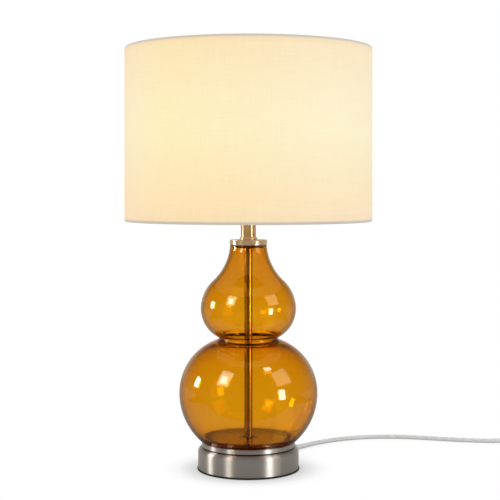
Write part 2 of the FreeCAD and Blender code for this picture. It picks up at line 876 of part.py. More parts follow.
contact_bottom = insert_top + cell.contact_post + cell.loose_gap
insulator_bottom = contact_bottom + cell.tip_height
cap_shell_bottom = insulator_bottom + cell.insulator_height
cap_shell_top = cap_shell_bottom + cell.cap_shell_height
cap_shell_radius = cell.cap_shell_diameter / 2
cap_shell_bore = cap_shell_radius - cell.cap_shell_wall
lead_radius = cell.lead_diameter / 2
lead_top = holder_bottom + cell.rod_grip + cell.lead_end


def compound(label, *items):
    group = doc.addObject("Part::Compound", label)
    group.Links = list(items)
    return named(group, label)


def make_holder_fittings():
    post_radius = cell.contact_post_diameter / 2
    post = cylinder("contact_post", post_radius, cell.contact_post, insert_top, keep=False)
    tab_height = cap_shell_bottom - insert_top - cell.loose_gap
    tab = block("contact_tab", (cell.tab_thickness, cell.tab_width, tab_height),
                (cap_shell_radius - cell.tab_inset, -cell.tab_width / 2, insert_top))
    compound("lampholder_contacts", post, tab)

    heads = []
    for side in (-1, 1):
        head = cylinder("screw_head", cell.screw_head / 2, cell.screw_height,
                        insert_bottom - cell.screw_height, keep=False)
        bind(head, "Placement.Base.x", side * cell.screw_spread)
        heads.append(head)
    compound("terminal_screws", *heads)

    ring = new_body("shade_ring")
    bore = skirt_radius + cell.fit_gap
    hub = bore + cell.ring_wall
    outside = cell.ring_diameter / 2
    collar = turned(ring, [
        (bore, 0.0), (outside, 0.0), (outside, cell.ring_flange), (hub, cell.ring_flange),
        (hub, cell.ring_height), (bore, cell.ring_height),
    ])
    rounded(ring, collar, is_ring(hub, cell.ring_height), cell.ring_round)
    grip = new_sketch(ring, "XY_Plane")
    draw_circle(grip, (outside + cell.grip_offset, 0.0), cell.grip_radius)
    scallop = pocketed(ring, grip, cell.ring_flange, reverse=True)
    repeated(ring, scallop, cell.ring_grips)
    lift(ring, carrier_seat + cell.carrier_ring_thickness)


# Bulb

def make_bulb():
    tip_radius = cell.tip_diameter / 2
    cylinder("bulb_contact", tip_radius, cell.tip_height, contact_bottom)

    insulator = new_body("bulb_insulator")
    neck = cap_shell_bore - cell.fit_gap
    top = cell.insulator_height + cell.insulator_plug
    turned(insulator, [
        (0.0, 0.0), (tip_radius, 0.0), (neck, cell.insulator_height), (neck, top), (0.0, top),
    ])
    lift(insulator, insulator_bottom)

    height = cell.cap_shell_height
    shell = cylinder("cap_shell", cap_shell_radius, height, cap_shell_bottom, keep=False)
    bore = cylinder("cap_bore", cap_shell_bore, height, cap_shell_bottom, keep=False)
    cut("bulb_cap", shell, bore)

    globe = new_body("bulb_globe")
    sketch = new_sketch(globe, "XZ_Plane")
    outer = draw_globe(sketch, as_size(0.0))
    inner = draw_globe(sketch, cell.globe_wall)
    for ends in (0, 1):
        places = [Vector(*outer[ends][2]), Vector(*inner[ends][2])]
        line = sketch.addGeometry(Part.LineSegment(*places), False)
        sketch.addConstraint(Sketcher.Constraint("Coincident", outer[ends][0], outer[ends][1], line, 1))
        sketch.addConstraint(Sketcher.Constraint("Coincident", line, 2, inner[ends][0], inner[ends][1]))
    spun(globe, sketch, "PartDesign::Revolution")
    lift(globe, cap_shell_top)


def draw_globe(sketch, inset):
    # A straight neck, a hollow arc and a round top, set in from the outer skin by inset.
    # Heights count from the top of the cap, in which the neck stands.
    neck = cap_shell_bore - cell.fit_gap - inset
    reach = cell.globe_diameter / 2 - inset
    bend = cell.globe_neck_arc + inset
    across = neck.value + bend.value
    bend_up = cell.globe_level.value - math.sqrt((reach.value + bend.value) ** 2 - across ** 2)
    middle = Vector(0, cell.globe_level.value, 0)
    bend_middle = Vector(across, bend_up, 0)
    joint = middle + (bend_middle - middle) * (reach.value / (reach.value + bend.value))
    low = Vector(neck.value, -cell.globe_seat.value, 0)
    bend_start = Vector(neck.value, bend_up, 0)
    neck_line = sketch.addGeometry(Part.LineSegment(low, bend_start), False)
    slope = math.atan2(joint.y - bend_up, joint.x - across)
    hollow = Part.Circle(bend_middle, Vector(0, 0, 1), bend.value)
    hollow_arc = sketch.addGeometry(Part.ArcOfCircle(hollow, slope, math.pi), False)
    ball = Part.Circle(middle, Vector(0, 0, 1), reach.value)
    ball_start = math.atan2(joint.y - middle.y, joint.x)
    ball_arc = sketch.addGeometry(Part.ArcOfCircle(ball, ball_start, math.pi / 2), False)
    pin_point(sketch, neck_line, 1, (neck, -cell.globe_seat))
    sketch.addConstraint(Sketcher.Constraint("Vertical", neck_line))
    sketch.addConstraint(Sketcher.Constraint("Tangent", neck_line, 2, hollow_arc, 2))
    sketch.addConstraint(Sketcher.Constraint("Tangent", hollow_arc, 1, ball_arc, 1))
    pin_point(sketch, ball_arc, 3, (0.0, cell.globe_level))
    sketch.addConstraint(Sketcher.Constraint("PointOnObject", ball_arc, 2, -2))
    for arc, size in ((hollow_arc, bend), (ball_arc, reach)):
        rule = sketch.addConstraint(Sketcher.Constraint("Radius", arc, size.value))
        bind(sketch, f"Constraints[{rule}]", size)
    return (neck_line, 1, tuple(low)), (ball_arc, 2, (0, middle.y + reach.value, 0))


# Shade

shade_radius = cell.shade_diameter / 2
fabric_bore = shade_radius - cell.fabric_thickness
liner_radius = fabric_bore - cell.pin_gap
wire_radius = cell.hoop_wire / 2
hoop_radius = liner_radius - cell.liner_thickness - cell.fit_gap - wire_radius
hoop_inset = cell.fabric_thickness + cell.fit_gap + wire_radius


def make_shade():
    hoop = doc.addObject("Part::Torus", "shade_top_hoop")
    bind(hoop, "Radius1", hoop_radius)
    bind(hoop, "Radius2", wire_radius)
    lift(named(hoop, "shade_top_hoop"), shade_top - hoop_inset)

    liner_inset = cell.hoop_wire / 2 + cell.fit_gap
    liner_height = cell.shade_height - 2 * liner_inset
    liner_bottom = shade_bottom + liner_inset
    liner_bore = liner_radius - cell.liner_thickness
    panel = cylinder("liner_panel", liner_radius, liner_height, liner_bottom, keep=False)
    hollow = cylinder("liner_hollow", liner_bore, liner_height, liner_bottom, keep=False)
    cut("shade_liner", panel, hollow)

    fabric = new_body("shade_fabric")
    top = cell.shade_height
    skin = cell.fabric_thickness
    turn_bore = shade_radius - cell.hem_width
    cover = turned(fabric, [
        (turn_bore, 0.0), (shade_radius, 0.0), (shade_radius, top), (turn_bore, top),
        (turn_bore, top - cell.hem_turn), (turn_bore + skin, top - cell.hem_turn),
        (turn_bore + skin, top - skin), (fabric_bore, top - skin), (fabric_bore, skin),
        (turn_bore + skin, skin), (turn_bore + skin, cell.hem_turn), (turn_bore, cell.hem_turn),
    ])
    roll = wire_radius
    lower = rounded(fabric, cover, is_ring(shade_radius, 0.0), roll)
    upper = rounded(fabric, lower, is_ring(shade_radius, top), roll)
    inner_low = rounded(fabric, upper, is_ring(fabric_bore, skin), roll - skin)
    rounded(fabric, inner_low, is_ring(fabric_bore, top - skin), roll - skin)
    notch = new_sketch(fabric, "XY_Plane", skin)
    half = cell.arm_wire / 2 + cell.notch_gap
    inside = turn_bore - cell.overcut
    outside = turn_bore + skin + cell.overcut / 2
    draw_outline(notch, [(inside, -half), (outside, -half), (outside, half), (inside, half)])
    slot = pocketed(fabric, notch, cell.hem_turn, reverse=True)
    repeated(fabric, slot, cell.arm_count)
    lift(fabric, shade_bottom)
    turn(fabric, cell.arm_azimuth)


def make_carrier():
    carrier = new_body("shade_carrier")
    ring_bore = skirt_radius + cell.loose_gap
    ring_radius = cell.carrier_ring_diameter / 2
    thickness = cell.carrier_ring_thickness
    hoop_level = hoop_inset - cell.carrier_drop
    turned(carrier, [
        (ring_bore, 0.0), (ring_radius, 0.0), (ring_radius, thickness), (ring_bore, thickness),
    ])
    wire = new_sketch(carrier, "XZ_Plane")
    draw_circle(wire, (hoop_radius, hoop_level), wire_radius)
    spun(carrier, wire, "PartDesign::Revolution")

    start = ring_radius - cell.arm_root
    path = new_sketch(carrier, "XZ_Plane")
    edge_count = draw_arm_path(path, start, thickness / 2, hoop_level)
    section = new_sketch(carrier, "YZ_Plane", start)
    draw_circle(section, (0.0, thickness / 2), cell.arm_wire / 2)
    doc.recompute()
    arm = carrier.newObject("PartDesign::AdditivePipe", "Arm")
    arm.Profile = section
    arm.Spine = (path, [f"Edge{number}" for number in range(1, edge_count + 1)])
    doc.recompute()
    repeated(carrier, arm, cell.arm_count)
    lift(carrier, carrier_seat)
    turn(carrier, cell.arm_azimuth)


def draw_arm_path(sketch, start, high, low):
    # A level shelf, a sloping run and a level foot, joined by two bends.
    bend = cell.arm_bend
    shelf_end = start + cell.arm_shelf
    foot_start = hoop_radius - cell.arm_foot
    first_middle = Vector(shelf_end.value, high.value - bend.value, 0)
    second_middle = Vector(foot_start.value, low.value + bend.value, 0)
    span = second_middle - first_middle
    slope = math.asin(2 * bend.value / span.Length) - math.atan2(span.y, span.x)
    normal = Vector(math.sin(slope), math.cos(slope), 0) * bend.value
    places = [Vector(start.value, high.value, 0), Vector(shelf_end.value, high.value, 0),
              first_middle + normal, second_middle - normal,
              Vector(foot_start.value, low.value, 0), Vector(hoop_radius.value, low.value, 0)]
    upright = math.pi / 2
    up = Vector(0, 0, 1)
    shelf = sketch.addGeometry(Part.LineSegment(places[0], places[1]), False)
    first = sketch.addGeometry(Part.ArcOfCircle(
        Part.Circle(first_middle, up, bend.value), upright - slope, upright), False)
    run = sketch.addGeometry(Part.LineSegment(places[2], places[3]), False)
    second = sketch.addGeometry(Part.ArcOfCircle(
        Part.Circle(second_middle, up, bend.value), -upright - slope, -upright), False)
    foot = sketch.addGeometry(Part.LineSegment(places[4], places[5]), False)
    for left, left_end, right, right_end in (
            (shelf, 2, first, 2), (first, 1, run, 1), (run, 2, second, 1), (second, 2, foot, 1)):
        sketch.addConstraint(Sketcher.Constraint("Tangent", left, left_end, right, right_end))
    pin_point(sketch, shelf, 1, (start, high))
    pin_point(sketch, foot, 2, (hoop_radius, low))
    for line in (shelf, foot):
        sketch.addConstraint(Sketcher.Constraint("Horizontal", line))
    for line, end, size in ((shelf, 2, shelf_end), (foot, 1, foot_start)):
        rule = sketch.addConstraint(Sketcher.Constraint("DistanceX", -1, 1, line, end, size.value))
        bind(sketch, f"Constraints[{rule}]", size)
    for arc in (first, second):
        rule = sketch.addConstraint(Sketcher.Constraint("Radius", arc, bend.value))
        bind(sketch, f"Constraints[{rule}]", bend)
    return 5


# Mains lead: routes of straight runs joined by tangent arcs

def solid_feature(label, shape):
    item = doc.addObject("Part::Feature", label)
    item.Shape = shape
    return named(item, label)


def rounded_route(points):
    # Each arc is 0.45 of its shorter run long on either side of its corner.
    edges, radii = [], []
    last = points[0]
    for before, corner, after in zip(points, points[1:], points[2:]):
        back, ahead = before - corner, after - corner
        reach = 0.45 * min(back.Length, ahead.Length)
        half_turn = (math.pi - back.getAngle(ahead)) / 2
        start = corner + back.normalize() * reach
        end = corner + ahead.normalize() * reach
        radius = reach / math.tan(half_turn)
        radii.append(radius)
        inward = (start + end) / 2 - corner
        middle = corner + inward.normalize() * (radius / math.cos(half_turn) - radius)
        edges.append(Part.LineSegment(last, start).toShape())
        edges.append(Part.Arc(start, middle, end).toShape())
        last = end
    edges.append(Part.LineSegment(last, points[-1]).toShape())
    return Part.Wire(edges), radii


def swept(label, route, radius):
    start = route.Edges[0]
    middle, along = start.valueAt(start.FirstParameter), start.tangentAt(start.FirstParameter)
    section = Part.Wire([Part.Circle(middle, along, radius).toShape()])
    solid = route.makePipeShell([section], True, False)
    expected = math.pi * radius ** 2 * route.Length
    share = solid.Volume / expected
    print(f"{label}: length {route.Length:.1f}, volume {share:.4f} of section times length")
    return solid


def lead_along(label, points, radius):
    route, radii = rounded_route(points)
    print(f"{label}: radii {[round(value, 1) for value in radii]}")
    solid_feature(label, swept(label, route, radius))
    return route.Length


def towards_exit(reach, height):
    azimuth = math.radians(cell.exit_azimuth.value)
    return Vector(reach * math.cos(azimuth), reach * math.sin(azimuth), height)


bush_start = drum_radius - cell.drum_wall - cell.bush_inner_gap - cell.bush_inner_thickness
boot_start = drum_radius + cell.pin_gap
boot_end = drum_radius + cell.boot_length


def make_bush():
    bush = new_body("cord_bush")
    neck = cell.boot_root / 2
    lip = neck + cell.bush_inner_lip
    flange_end = boot_start + cell.bush_flange_thickness
    inner_flange = bush_start + cell.bush_inner_thickness
    sketch = new_sketch(bush, "XZ_Plane")
    draw_outline(sketch, [
        (bush_start, 0.0), (bush_start, lip), (inner_flange, lip), (inner_flange, neck),
        (boot_start, neck), (boot_start, cell.bush_flange / 2), (flange_end, cell.bush_flange / 2),
        (flange_end, neck), (boot_end, cell.boot_tip / 2), (boot_end, 0.0),
    ])
    spun(bush, sketch, "PartDesign::Revolution", "H_Axis")
    lift(bush, cell.exit_height)
    turn(bush, cell.exit_azimuth)


def make_inner_lead():
    low = cell.pad_thickness.value + cell.plate_thickness.value + lead_radius.value + cell.loose_gap.value
    height = cell.exit_height.value
    lead_along("inner_lead", [
        towards_exit(bush_start.value, height), towards_exit(bush_start.value - 7.5, height),
        towards_exit(30.0, low), Vector(0, 0, low), Vector(0, 0, lead_top.value),
    ], lead_radius.value)

    radius = cell.core_diameter.value / 2
    spread = cell.core_spread.value
    start = lead_top.value
    end = insert_bottom.value
    solids = []
    for side in (-1, 1):
        route, radii = rounded_route([
            Vector(side * 1.2, 0, start), Vector(side * 1.2, 0, start + 2.5),
            Vector(side * spread, 0, end - 2.0), Vector(side * spread, 0, end + cell.core_depth.value),
        ])
        solids.append(swept("lead_cores", route, radius))
    solid_feature("lead_cores", Part.makeCompound(solids))


def make_free_lead():
    radius = lead_radius.value
    floor = radius
    across, back = cell.switch_across.value, cell.switch_back.value
    entry = cell.switch_length.value / 2 - cell.switch_hold.value
    split = cell.switch_split.value
    level = cell.coil_level.value
    total = lead_along("cord_lead", [
        towards_exit(boot_end.value, cell.exit_height.value),
        towards_exit(boot_end.value + 8.0, cell.exit_height.value),
        Vector(52.0, 89.7, 8.4), Vector(60.3, 102.3, 4.4), Vector(71.0, 116.0, floor),
        Vector(88.0, 134.8, floor), Vector(115.0, 156.5, floor), Vector(149.0, 172.0, floor),
        Vector(187.0, 177.5, floor), Vector(224.0, 172.5, floor), Vector(262.0, 160.5, floor),
        Vector(297.0, 151.5, floor), Vector(321.0, 148.6, floor), Vector(337.0, 150.4, 2.6),
        Vector(347.0, 152.2, 3.6), Vector(357.0, back, split), Vector(across - entry, back, split),
    ], radius)
    coil_start = cell.coil_across.value - cell.coil_lead_in.value
    total += lead_along("cord_link", [
        Vector(across + entry, back, split), Vector(430.0, back, split), Vector(441.5, back + 0.2, 3.8),
        Vector(455.5, back, level), Vector(coil_start, back, level),
    ], radius)
    end_back = back + 2 * cell.coil_radius.value
    end_level = level + cell.coil_pitch.value
    plug_level = cell.plug_level.value
    total += lead_along("cord_tail", [
        Vector(coil_start, end_back, end_level), Vector(462.5, end_back, end_level),
        Vector(454.0, end_back, plug_level),
        Vector(cell.plug_across.value, end_back, plug_level),
    ], radius)
    total += 2 * entry
    total += make_coil()
    print(f"free lead from the boot to the plug: {total:.0f} mm")


def coil_place(turns):
    # The middle of the wound lead after a number of turns: in, up a layer, and out again.
    inward = cell.coil_turns_in.value
    pitch = cell.coil_pitch.value
    distance = abs(turns - inward)
    radius = cell.coil_radius.value - pitch * (inward - distance)
    climb = min(max((turns - inward) / 0.5 + 0.5, 0.0), 1.0)
    height = cell.coil_level.value + pitch * climb * climb * (3 - 2 * climb)
    azimuth = 2 * math.pi * turns - math.pi / 2
    middle_back = cell.switch_back.value + cell.coil_radius.value
    return Vector(cell.coil_across.value + radius * math.cos(azimuth),
                  middle_back + radius * math.sin(azimuth), height)


def biarc(start, start_way, end, end_way):
    span = end - start
    ways = start_way + end_way
    spread = 2 * (1 - start_way.dot(end_way))
    reach = (math.sqrt(span.dot(ways) ** 2 + spread * span.dot(span)) - span.dot(ways)) / spread
    first_corner, second_corner = start + start_way * reach, end - end_way * reach
    joint = (first_corner + second_corner) / 2
    return [arc_by_corner(start, first_corner, joint), arc_by_corner(joint, second_corner, end)]


def arc_by_corner(start, corner, end):
    chord_middle = (start + end) / 2
    half_chord = (end - start).Length / 2
    rise = (corner - chord_middle).Length
    side = math.hypot(half_chord, rise)
    bulge = half_chord * (side - half_chord) / rise
    middle = chord_middle + (corner - chord_middle) * (bulge / rise)
    return Part.Arc(start, middle, end).toShape()


def make_coil():
    turns = 2 * cell.coil_turns_in.value
    quarters = round(turns * 4)
    step = turns / quarters
    small = 0.001
    places, ways = [], []
    for index in range(quarters + 1):
        place = index * step
        places.append(coil_place(place))
        ways.append((coil_place(place + small) - coil_place(place - small)).normalize())
    ways[0], ways[-1] = Vector(1, 0, 0), Vector(-1, 0, 0)
    lead_in = cell.coil_lead_in.value
    edges = [Part.LineSegment(places[0] - ways[0] * lead_in, places[0]).toShape()]
    for index in range(quarters):
        edges.extend(biarc(places[index], ways[index], places[index + 1], ways[index + 1]))
    edges.append(Part.LineSegment(places[-1], places[-1] + ways[-1] * lead_in).toShape())
    route = Part.Wire(edges)
    solid_feature("cord_coil", swept("cord_coil", route, lead_radius.value))
    print(f"cord_coil: least gap to itself {least_gap(edges, turns):.2f}")
    return route.Length


def least_gap(edges, turns):
    # Measured between points of the centreline that lie half a turn or more apart.
    samples = []
    for edge in edges:
        count = max(2, round(edge.Length / 1.5))
        first, last = edge.FirstParameter, edge.LastParameter
        samples.extend(edge.valueAt(first + (last - first) * part / count) for part in range(count))
    apart = round(len(samples) / turns / 2)
    nearest = min((samples[late] - samples[early]).Length
                  for early in range(len(samples)) for late in range(early + apart, len(samples)))
    return nearest - cell.lead_diameter.value


def make_tie():
    tie = new_body("coil_tie")
    slack = cell.tie_slack
    inner = cell.coil_radius - cell.coil_pitch * cell.coil_turns_in - lead_radius - 2 * slack
    outer = cell.coil_radius - cell.coil_pitch / 4 + lead_radius + slack
    low = cell.coil_level - lead_radius - cell.fit_gap
    high = cell.coil_level + cell.coil_pitch + lead_radius + cell.fit_gap
    band = cell.tie_thickness
    sketch = new_sketch(tie, "XZ_Plane")
    draw_outline(sketch, [
        (inner - band, low - band), (outer + band, low - band),
        (outer + band, high + band), (inner - band, high + band),
    ])
    draw_outline(sketch, [(inner, low), (outer, low), (outer, high), (inner, high)])
    loop = padded(tie, sketch, cell.tie_width)
    loop.Midplane = True
    doc.recompute()

    def is_corner(sizes):
        wanted_x = [as_size(size).value for size in sizes]

        def wanted(edge):
            box = edge.BoundBox
            along = box.YLength > near and box.XLength < near and box.ZLength < near
            return along and any(abs(box.XMin - size) < near for size in wanted_x)

        return wanted

    outside = rounded(tie, loop, is_corner([inner - band, outer + band]), cell.tie_round)
    rounded(tie, outside, is_corner([inner, outer]), cell.tie_round - band)
    bind(tie, "Placement.Base.x", cell.coil_across)
    bind(tie, "Placement.Base.y", cell.switch_back + cell.coil_radius)


# Switch on the lead, drawn about its own middle

def switch_place(item, height=0.0):
    bind(item, "Placement.Base.x", cell.switch_across)
    bind(item, "Placement.Base.y", cell.switch_back)
    bind(item, "Placement.Base.z", height)


def rectangle(length, width):
    across, back = as_size(length) / 2, as_size(width) / 2
    return [(-across, -back), (across, -back), (across, back), (-across, back)]


def lead_groove(body, height):
    groove = new_sketch(body, "YZ_Plane", -cell.switch_length / 2 - cell.overcut)
    draw_circle(groove, (0.0, height), lead_radius + cell.fit_gap)
    pocketed(body, groove, cell.switch_length + 2 * cell.overcut, reverse=True)


screw_corners = ((1, 1), (-1, -1))


def make_switch():
    length, width = cell.switch_length, cell.switch_width
    inner_length, inner_width = length - 2 * cell.switch_wall, width - 2 * cell.switch_wall
    inner_corner = cell.switch_corner - cell.switch_wall

    base = new_body("switch_base")
    outline = new_sketch(base, "XY_Plane")
    draw_outline(outline, rectangle(length, width))
    lower = padded(base, outline, cell.switch_split)
    sides = rounded(base, lower, is_upright, cell.switch_corner)
    rounded(base, sides, at_height(0.0), cell.switch_under_round)
    cavity = new_sketch(base, "XY_Plane", cell.switch_split)
    draw_outline(cavity, rectangle(inner_length, inner_width))
    depth = cell.switch_split - cell.switch_roof
    hollow = pocketed(base, cavity, depth)
    inner = inner_length.value / 2

    def is_inner_corner(edge):
        return is_upright(edge) and abs(abs(edge.BoundBox.XMin) - inner) < near

    rounded(base, hollow, is_inner_corner, inner_corner)
    add_posts(base, cell.switch_roof, depth)
    lead_groove(base, cell.switch_split)
    head_depth = cell.screw_cap_height + cell.fit_gap
    drill_posts(base, 0.0, cell.screw_cap / 2 + cell.fit_gap, head_depth)
    drill_posts(base, 0.0, cell.screw_shank / 2 + cell.fit_gap, cell.switch_split)
    switch_place(base)

    cover = new_body("switch_cover")
    cover_height = cell.switch_height - cell.switch_split
    outline = new_sketch(cover, "XY_Plane")
    draw_outline(outline, rectangle(length, width))
    upper = padded(cover, outline, cover_height)
    sides = rounded(cover, upper, is_upright, cell.switch_corner)
    rounded(cover, sides, at_height(cover_height), cell.switch_top_round)
    cavity = new_sketch(cover, "XY_Plane")
    draw_outline(cavity, rectangle(inner_length, inner_width))
    hollow = pocketed(cover, cavity, cover_height - cell.switch_roof, reverse=True)
    rounded(cover, hollow, is_inner_corner, inner_corner)
    add_posts(cover, 0.0, cover_height - cell.switch_roof)
    window = new_sketch(cover, "XY_Plane", cover_height)
    draw_outline(window, rectangle(cell.window_length, cell.window_width))
    pocketed(cover, window, cell.switch_roof)
    add_cheeks(cover, cover_height - cell.switch_roof)
    lead_groove(cover, 0.0)
    drill_posts(cover, 0.0, cell.screw_shank / 2 + cell.pin_gap, cell.screw_bite + cell.well_end_gap)
    switch_place(cover, cell.switch_split)


def add_posts(body, start, height):
    posts = new_sketch(body, "XY_Plane", start)
    for across, aside in screw_corners:
        draw_circle(posts, (across * cell.screw_across, aside * cell.screw_aside), cell.post_diameter / 2)
    padded(body, posts, height)


def drill_posts(body, start, radius, depth):
    holes = new_sketch(body, "XY_Plane", start)
    for across, aside in screw_corners:
        draw_circle(holes, (across * cell.screw_across, aside * cell.screw_aside), radius)
    pocketed(body, holes, depth, reverse=True)


def add_cheeks(cover, top):
    # Two walls under the window that hold the rocker's pins.
    pin_level = cell.pivot_height - cell.switch_split
    hang = top - pin_level + cell.rocker_pin / 2 + cell.cheek_under
    inner = cell.window_width / 2
    for side in (-1, 1):
        cheek = new_sketch(cover, "XY_Plane", top - hang)
        half = cell.cheek_length / 2
        near_side, far_side = side * inner, side * (inner + cell.cheek_thickness)
        draw_outline(cheek, [
            (-half, near_side), (half, near_side), (half, far_side), (-half, far_side),
        ])
        padded(cover, cheek, hang)
    bore = new_sketch(cover, "XZ_Plane")
    draw_circle(bore, (0.0, pin_level), cell.rocker_pin / 2 + cell.pin_gap)
    bore_length = cell.window_width + 2 * cell.cheek_thickness + cell.overcut
    pocketed(cover, bore, bore_length, both_ways=True)


def make_rocker():
    # Drawn about its pins, with its two ends level, then tipped to its resting side.
    rocker = new_body("switch_rocker")
    half = cell.rocker_length / 2
    top = cell.rocker_top / 2
    width = cell.window_width - 2 * cell.loose_gap
    profile = new_sketch(rocker, "XZ_Plane")
    draw_outline(profile, [
        (-half, -cell.rocker_under), (half, -cell.rocker_under), (half, cell.rocker_end),
        (top, cell.rocker_rise), (0.0, cell.rocker_dip), (-top, cell.rocker_rise), (-half, cell.rocker_end),
    ])
    paddle = padded(rocker, profile, width)
    paddle.Midplane = True
    doc.recompute()
    hollow = new_sketch(rocker, "XY_Plane", -cell.rocker_under)
    wall = cell.rocker_wall
    draw_outline(hollow, rectangle(cell.rocker_length - 2 * wall, width - 2 * wall))
    pocketed(rocker, hollow, cell.rocker_under + cell.rocker_dip - wall, reverse=True)
    pins = new_sketch(rocker, "XZ_Plane")
    draw_circle(pins, (0.0, 0.0), cell.rocker_pin / 2)
    shaft = padded(rocker, pins, cell.window_width + 2 * cell.cheek_thickness - 2 * cell.fit_gap)
    shaft.Midplane = True
    doc.recompute()
    rocker.Placement.Rotation = Rotation(Vector(0, 1, 0), cell.rocker_tilt.value)
    bind(rocker, "Placement.Rotation.Angle", cell.rocker_tilt)
    switch_place(rocker, cell.pivot_height)


def make_switch_screws():
    screws = new_body("switch_screws")
    heads = new_sketch(screws, "XY_Plane")
    shanks = new_sketch(screws, "XY_Plane", cell.screw_cap_height)
    for across, aside in screw_corners:
        place = (across * cell.screw_across, aside * cell.screw_aside)
        draw_circle(heads, place, cell.screw_cap / 2)
        draw_circle(shanks, place, cell.screw_shank / 2)
    padded(screws, heads, cell.screw_cap_height)
    padded(screws, shanks, cell.switch_split - cell.screw_cap_height + cell.screw_bite)
    switch_place(screws, cell.fit_gap)


def make_switch_contacts():
    length, width = cell.switch_contact_length, cell.switch_contact_width
    strips = []
    for start in (cell.switch_contact_offset, -cell.switch_contact_offset - length):
        strips.append(block(
            "contact_strip", (length, width, cell.switch_contact_height),
            (cell.switch_across + start, cell.switch_back - width / 2, cell.switch_roof)))
    compound("switch_contacts", *strips)


# Plug, drawn with its boot's tip at its own origin and its pins towards +X

def plug_place(item):
    item.Placement.Rotation = Rotation(Vector(0, 0, 1), 180)
    bind(item, "Placement.Base.x", cell.plug_across)
    bind(item, "Placement.Base.y", cell.switch_back + 2 * cell.coil_radius)
    bind(item, "Placement.Base.z", cell.plug_level)


def make_plug():
    body = new_body("plug_body")
    back = cell.plug_boot_length
    front = back + cell.plug_length
    shoulder = back + cell.plug_shoulder
    half, narrow = cell.plug_width / 2, cell.plug_back_width / 2
    outline = new_sketch(body, "XY_Plane")
    draw_outline(outline, [
        (back, -narrow), (shoulder, -half), (front, -half), (front, half), (shoulder, half), (back, narrow),
    ])
    slab = padded(body, outline, cell.plug_thickness)
    slab.Midplane = True
    doc.recompute()
    sides = rounded(body, slab, is_upright, cell.plug_corner)
    half_thickness = cell.plug_thickness.value / 2

    def is_face_edge(edge):
        return abs(abs(edge.BoundBox.Center.z) - half_thickness) < near

    rounded(body, sides, is_face_edge, cell.plug_round)
    boot = new_sketch(body, "XZ_Plane")
    draw_outline(boot, [
        (0.0, 0.0), (0.0, cell.boot_tip / 2), (back, cell.plug_boot_root / 2),
        (back + cell.plug_boot_overlap, cell.plug_boot_root / 2), (back + cell.plug_boot_overlap, 0.0),
    ])
    spun(body, boot, "PartDesign::Revolution", "H_Axis")
    core = cell.pin_diameter / 2 - cell.pin_neck
    holes = pin_circles(body, front - cell.pin_root, core + cell.pin_gap)
    pocketed(body, holes, cell.pin_root + cell.overcut, reverse=True)
    plug_place(body)

    pins = new_body("plug_pins")
    sleeve_end = front + cell.sleeve_length
    roots = pin_circles(pins, front - cell.pin_root, core)
    padded(pins, roots, cell.pin_root + cell.sleeve_length)
    bare = pin_circles(pins, sleeve_end, cell.pin_diameter / 2)
    tips = padded(pins, bare, cell.pin_length - cell.sleeve_length)
    end = (front + cell.pin_length).value
    rounded(pins, tips, lambda edge: abs(edge.BoundBox.Center.x - end) < near, cell.pin_tip_round)
    plug_place(pins)

    sleeves = new_body("pin_sleeves")
    rings = pin_circles(sleeves, front, cell.sleeve_diameter / 2)
    for side in (-1, 1):
        draw_circle(rings, (side * cell.pin_spacing / 2, 0.0), core + cell.pin_gap)
    padded(sleeves, rings, cell.sleeve_length)
    plug_place(sleeves)


def pin_circles(body, start, radius):
    sketch = new_sketch(body, "YZ_Plane", start)
    for side in (-1, 1):
        draw_circle(sketch, (side * cell.pin_spacing / 2, 0.0), radius)
    return sketch


make_base()
make_clamp()
make_seat()
make_glass()
make_neck()
make_lampholder()
make_holder_fittings()
make_bulb()
make_shade()
make_carrier()
make_bush()
make_inner_lead()
make_free_lead()
make_tie()
make_switch()
make_rocker()
make_switch_screws()
make_switch_contacts()
make_plug()
doc.recompute()

for item in doc.Objects:
    if any(word in item.State for word in ("Invalid", "Error")):
        raise RuntimeError(f"{item.Label} is in state {item.State}")
for node in nodes:
    if node.Shape.isNull() or not node.Shape.isValid() or not node.Shape.Solids:
        raise RuntimeError(f"{node.Label} has no valid solid")

os.makedirs("parts", exist_ok=True)
for node in nodes:
    node.Shape.exportStep(f"parts/{node.Label}.step")
print(f"{len(nodes)} nodes written")
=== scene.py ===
import json
import math

import bmesh
import bpy
from mathutils import Matrix, Vector


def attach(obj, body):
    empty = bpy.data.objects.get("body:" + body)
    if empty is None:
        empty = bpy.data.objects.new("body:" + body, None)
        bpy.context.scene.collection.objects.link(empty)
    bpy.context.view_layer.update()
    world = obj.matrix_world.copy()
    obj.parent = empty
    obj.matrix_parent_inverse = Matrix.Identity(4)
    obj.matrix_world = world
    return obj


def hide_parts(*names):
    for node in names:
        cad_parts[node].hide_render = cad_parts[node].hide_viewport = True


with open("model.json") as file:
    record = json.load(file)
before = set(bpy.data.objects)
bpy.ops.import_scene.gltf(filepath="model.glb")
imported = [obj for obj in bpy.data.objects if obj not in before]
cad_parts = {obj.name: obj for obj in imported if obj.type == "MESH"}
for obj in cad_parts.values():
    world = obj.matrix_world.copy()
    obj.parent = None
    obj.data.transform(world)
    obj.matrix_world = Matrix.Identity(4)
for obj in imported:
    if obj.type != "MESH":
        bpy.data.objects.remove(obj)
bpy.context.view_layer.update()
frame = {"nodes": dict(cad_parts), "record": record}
cadNodes = frame["nodes"]
mm = 0.001
print("frame loaded:", len(cadNodes), "nodes")


# Small tools for meshes, node trees and colours

def screenColour(red, green, blue):
    # A screen colour, 0 to 255, as the linear one that sockets hold.
    shares = [value / 255 for value in (red, green, blue)]
    return tuple(share / 12.92 if share <= 0.04045 else ((share + 0.055) / 1.055) ** 2.4 for share in shares)


def fillInputs(tree, node, inputs):
    # inputs go by socket name or number; a socket as the value is linked, anything else is set.
    for key, value in inputs.items():
        socket = node.inputs[key]
        if isinstance(value, bpy.types.NodeSocket):
            tree.links.new(value, socket)
        else:
            socket.default_value = (*value, 1.0) if socket.type == "RGBA" else value


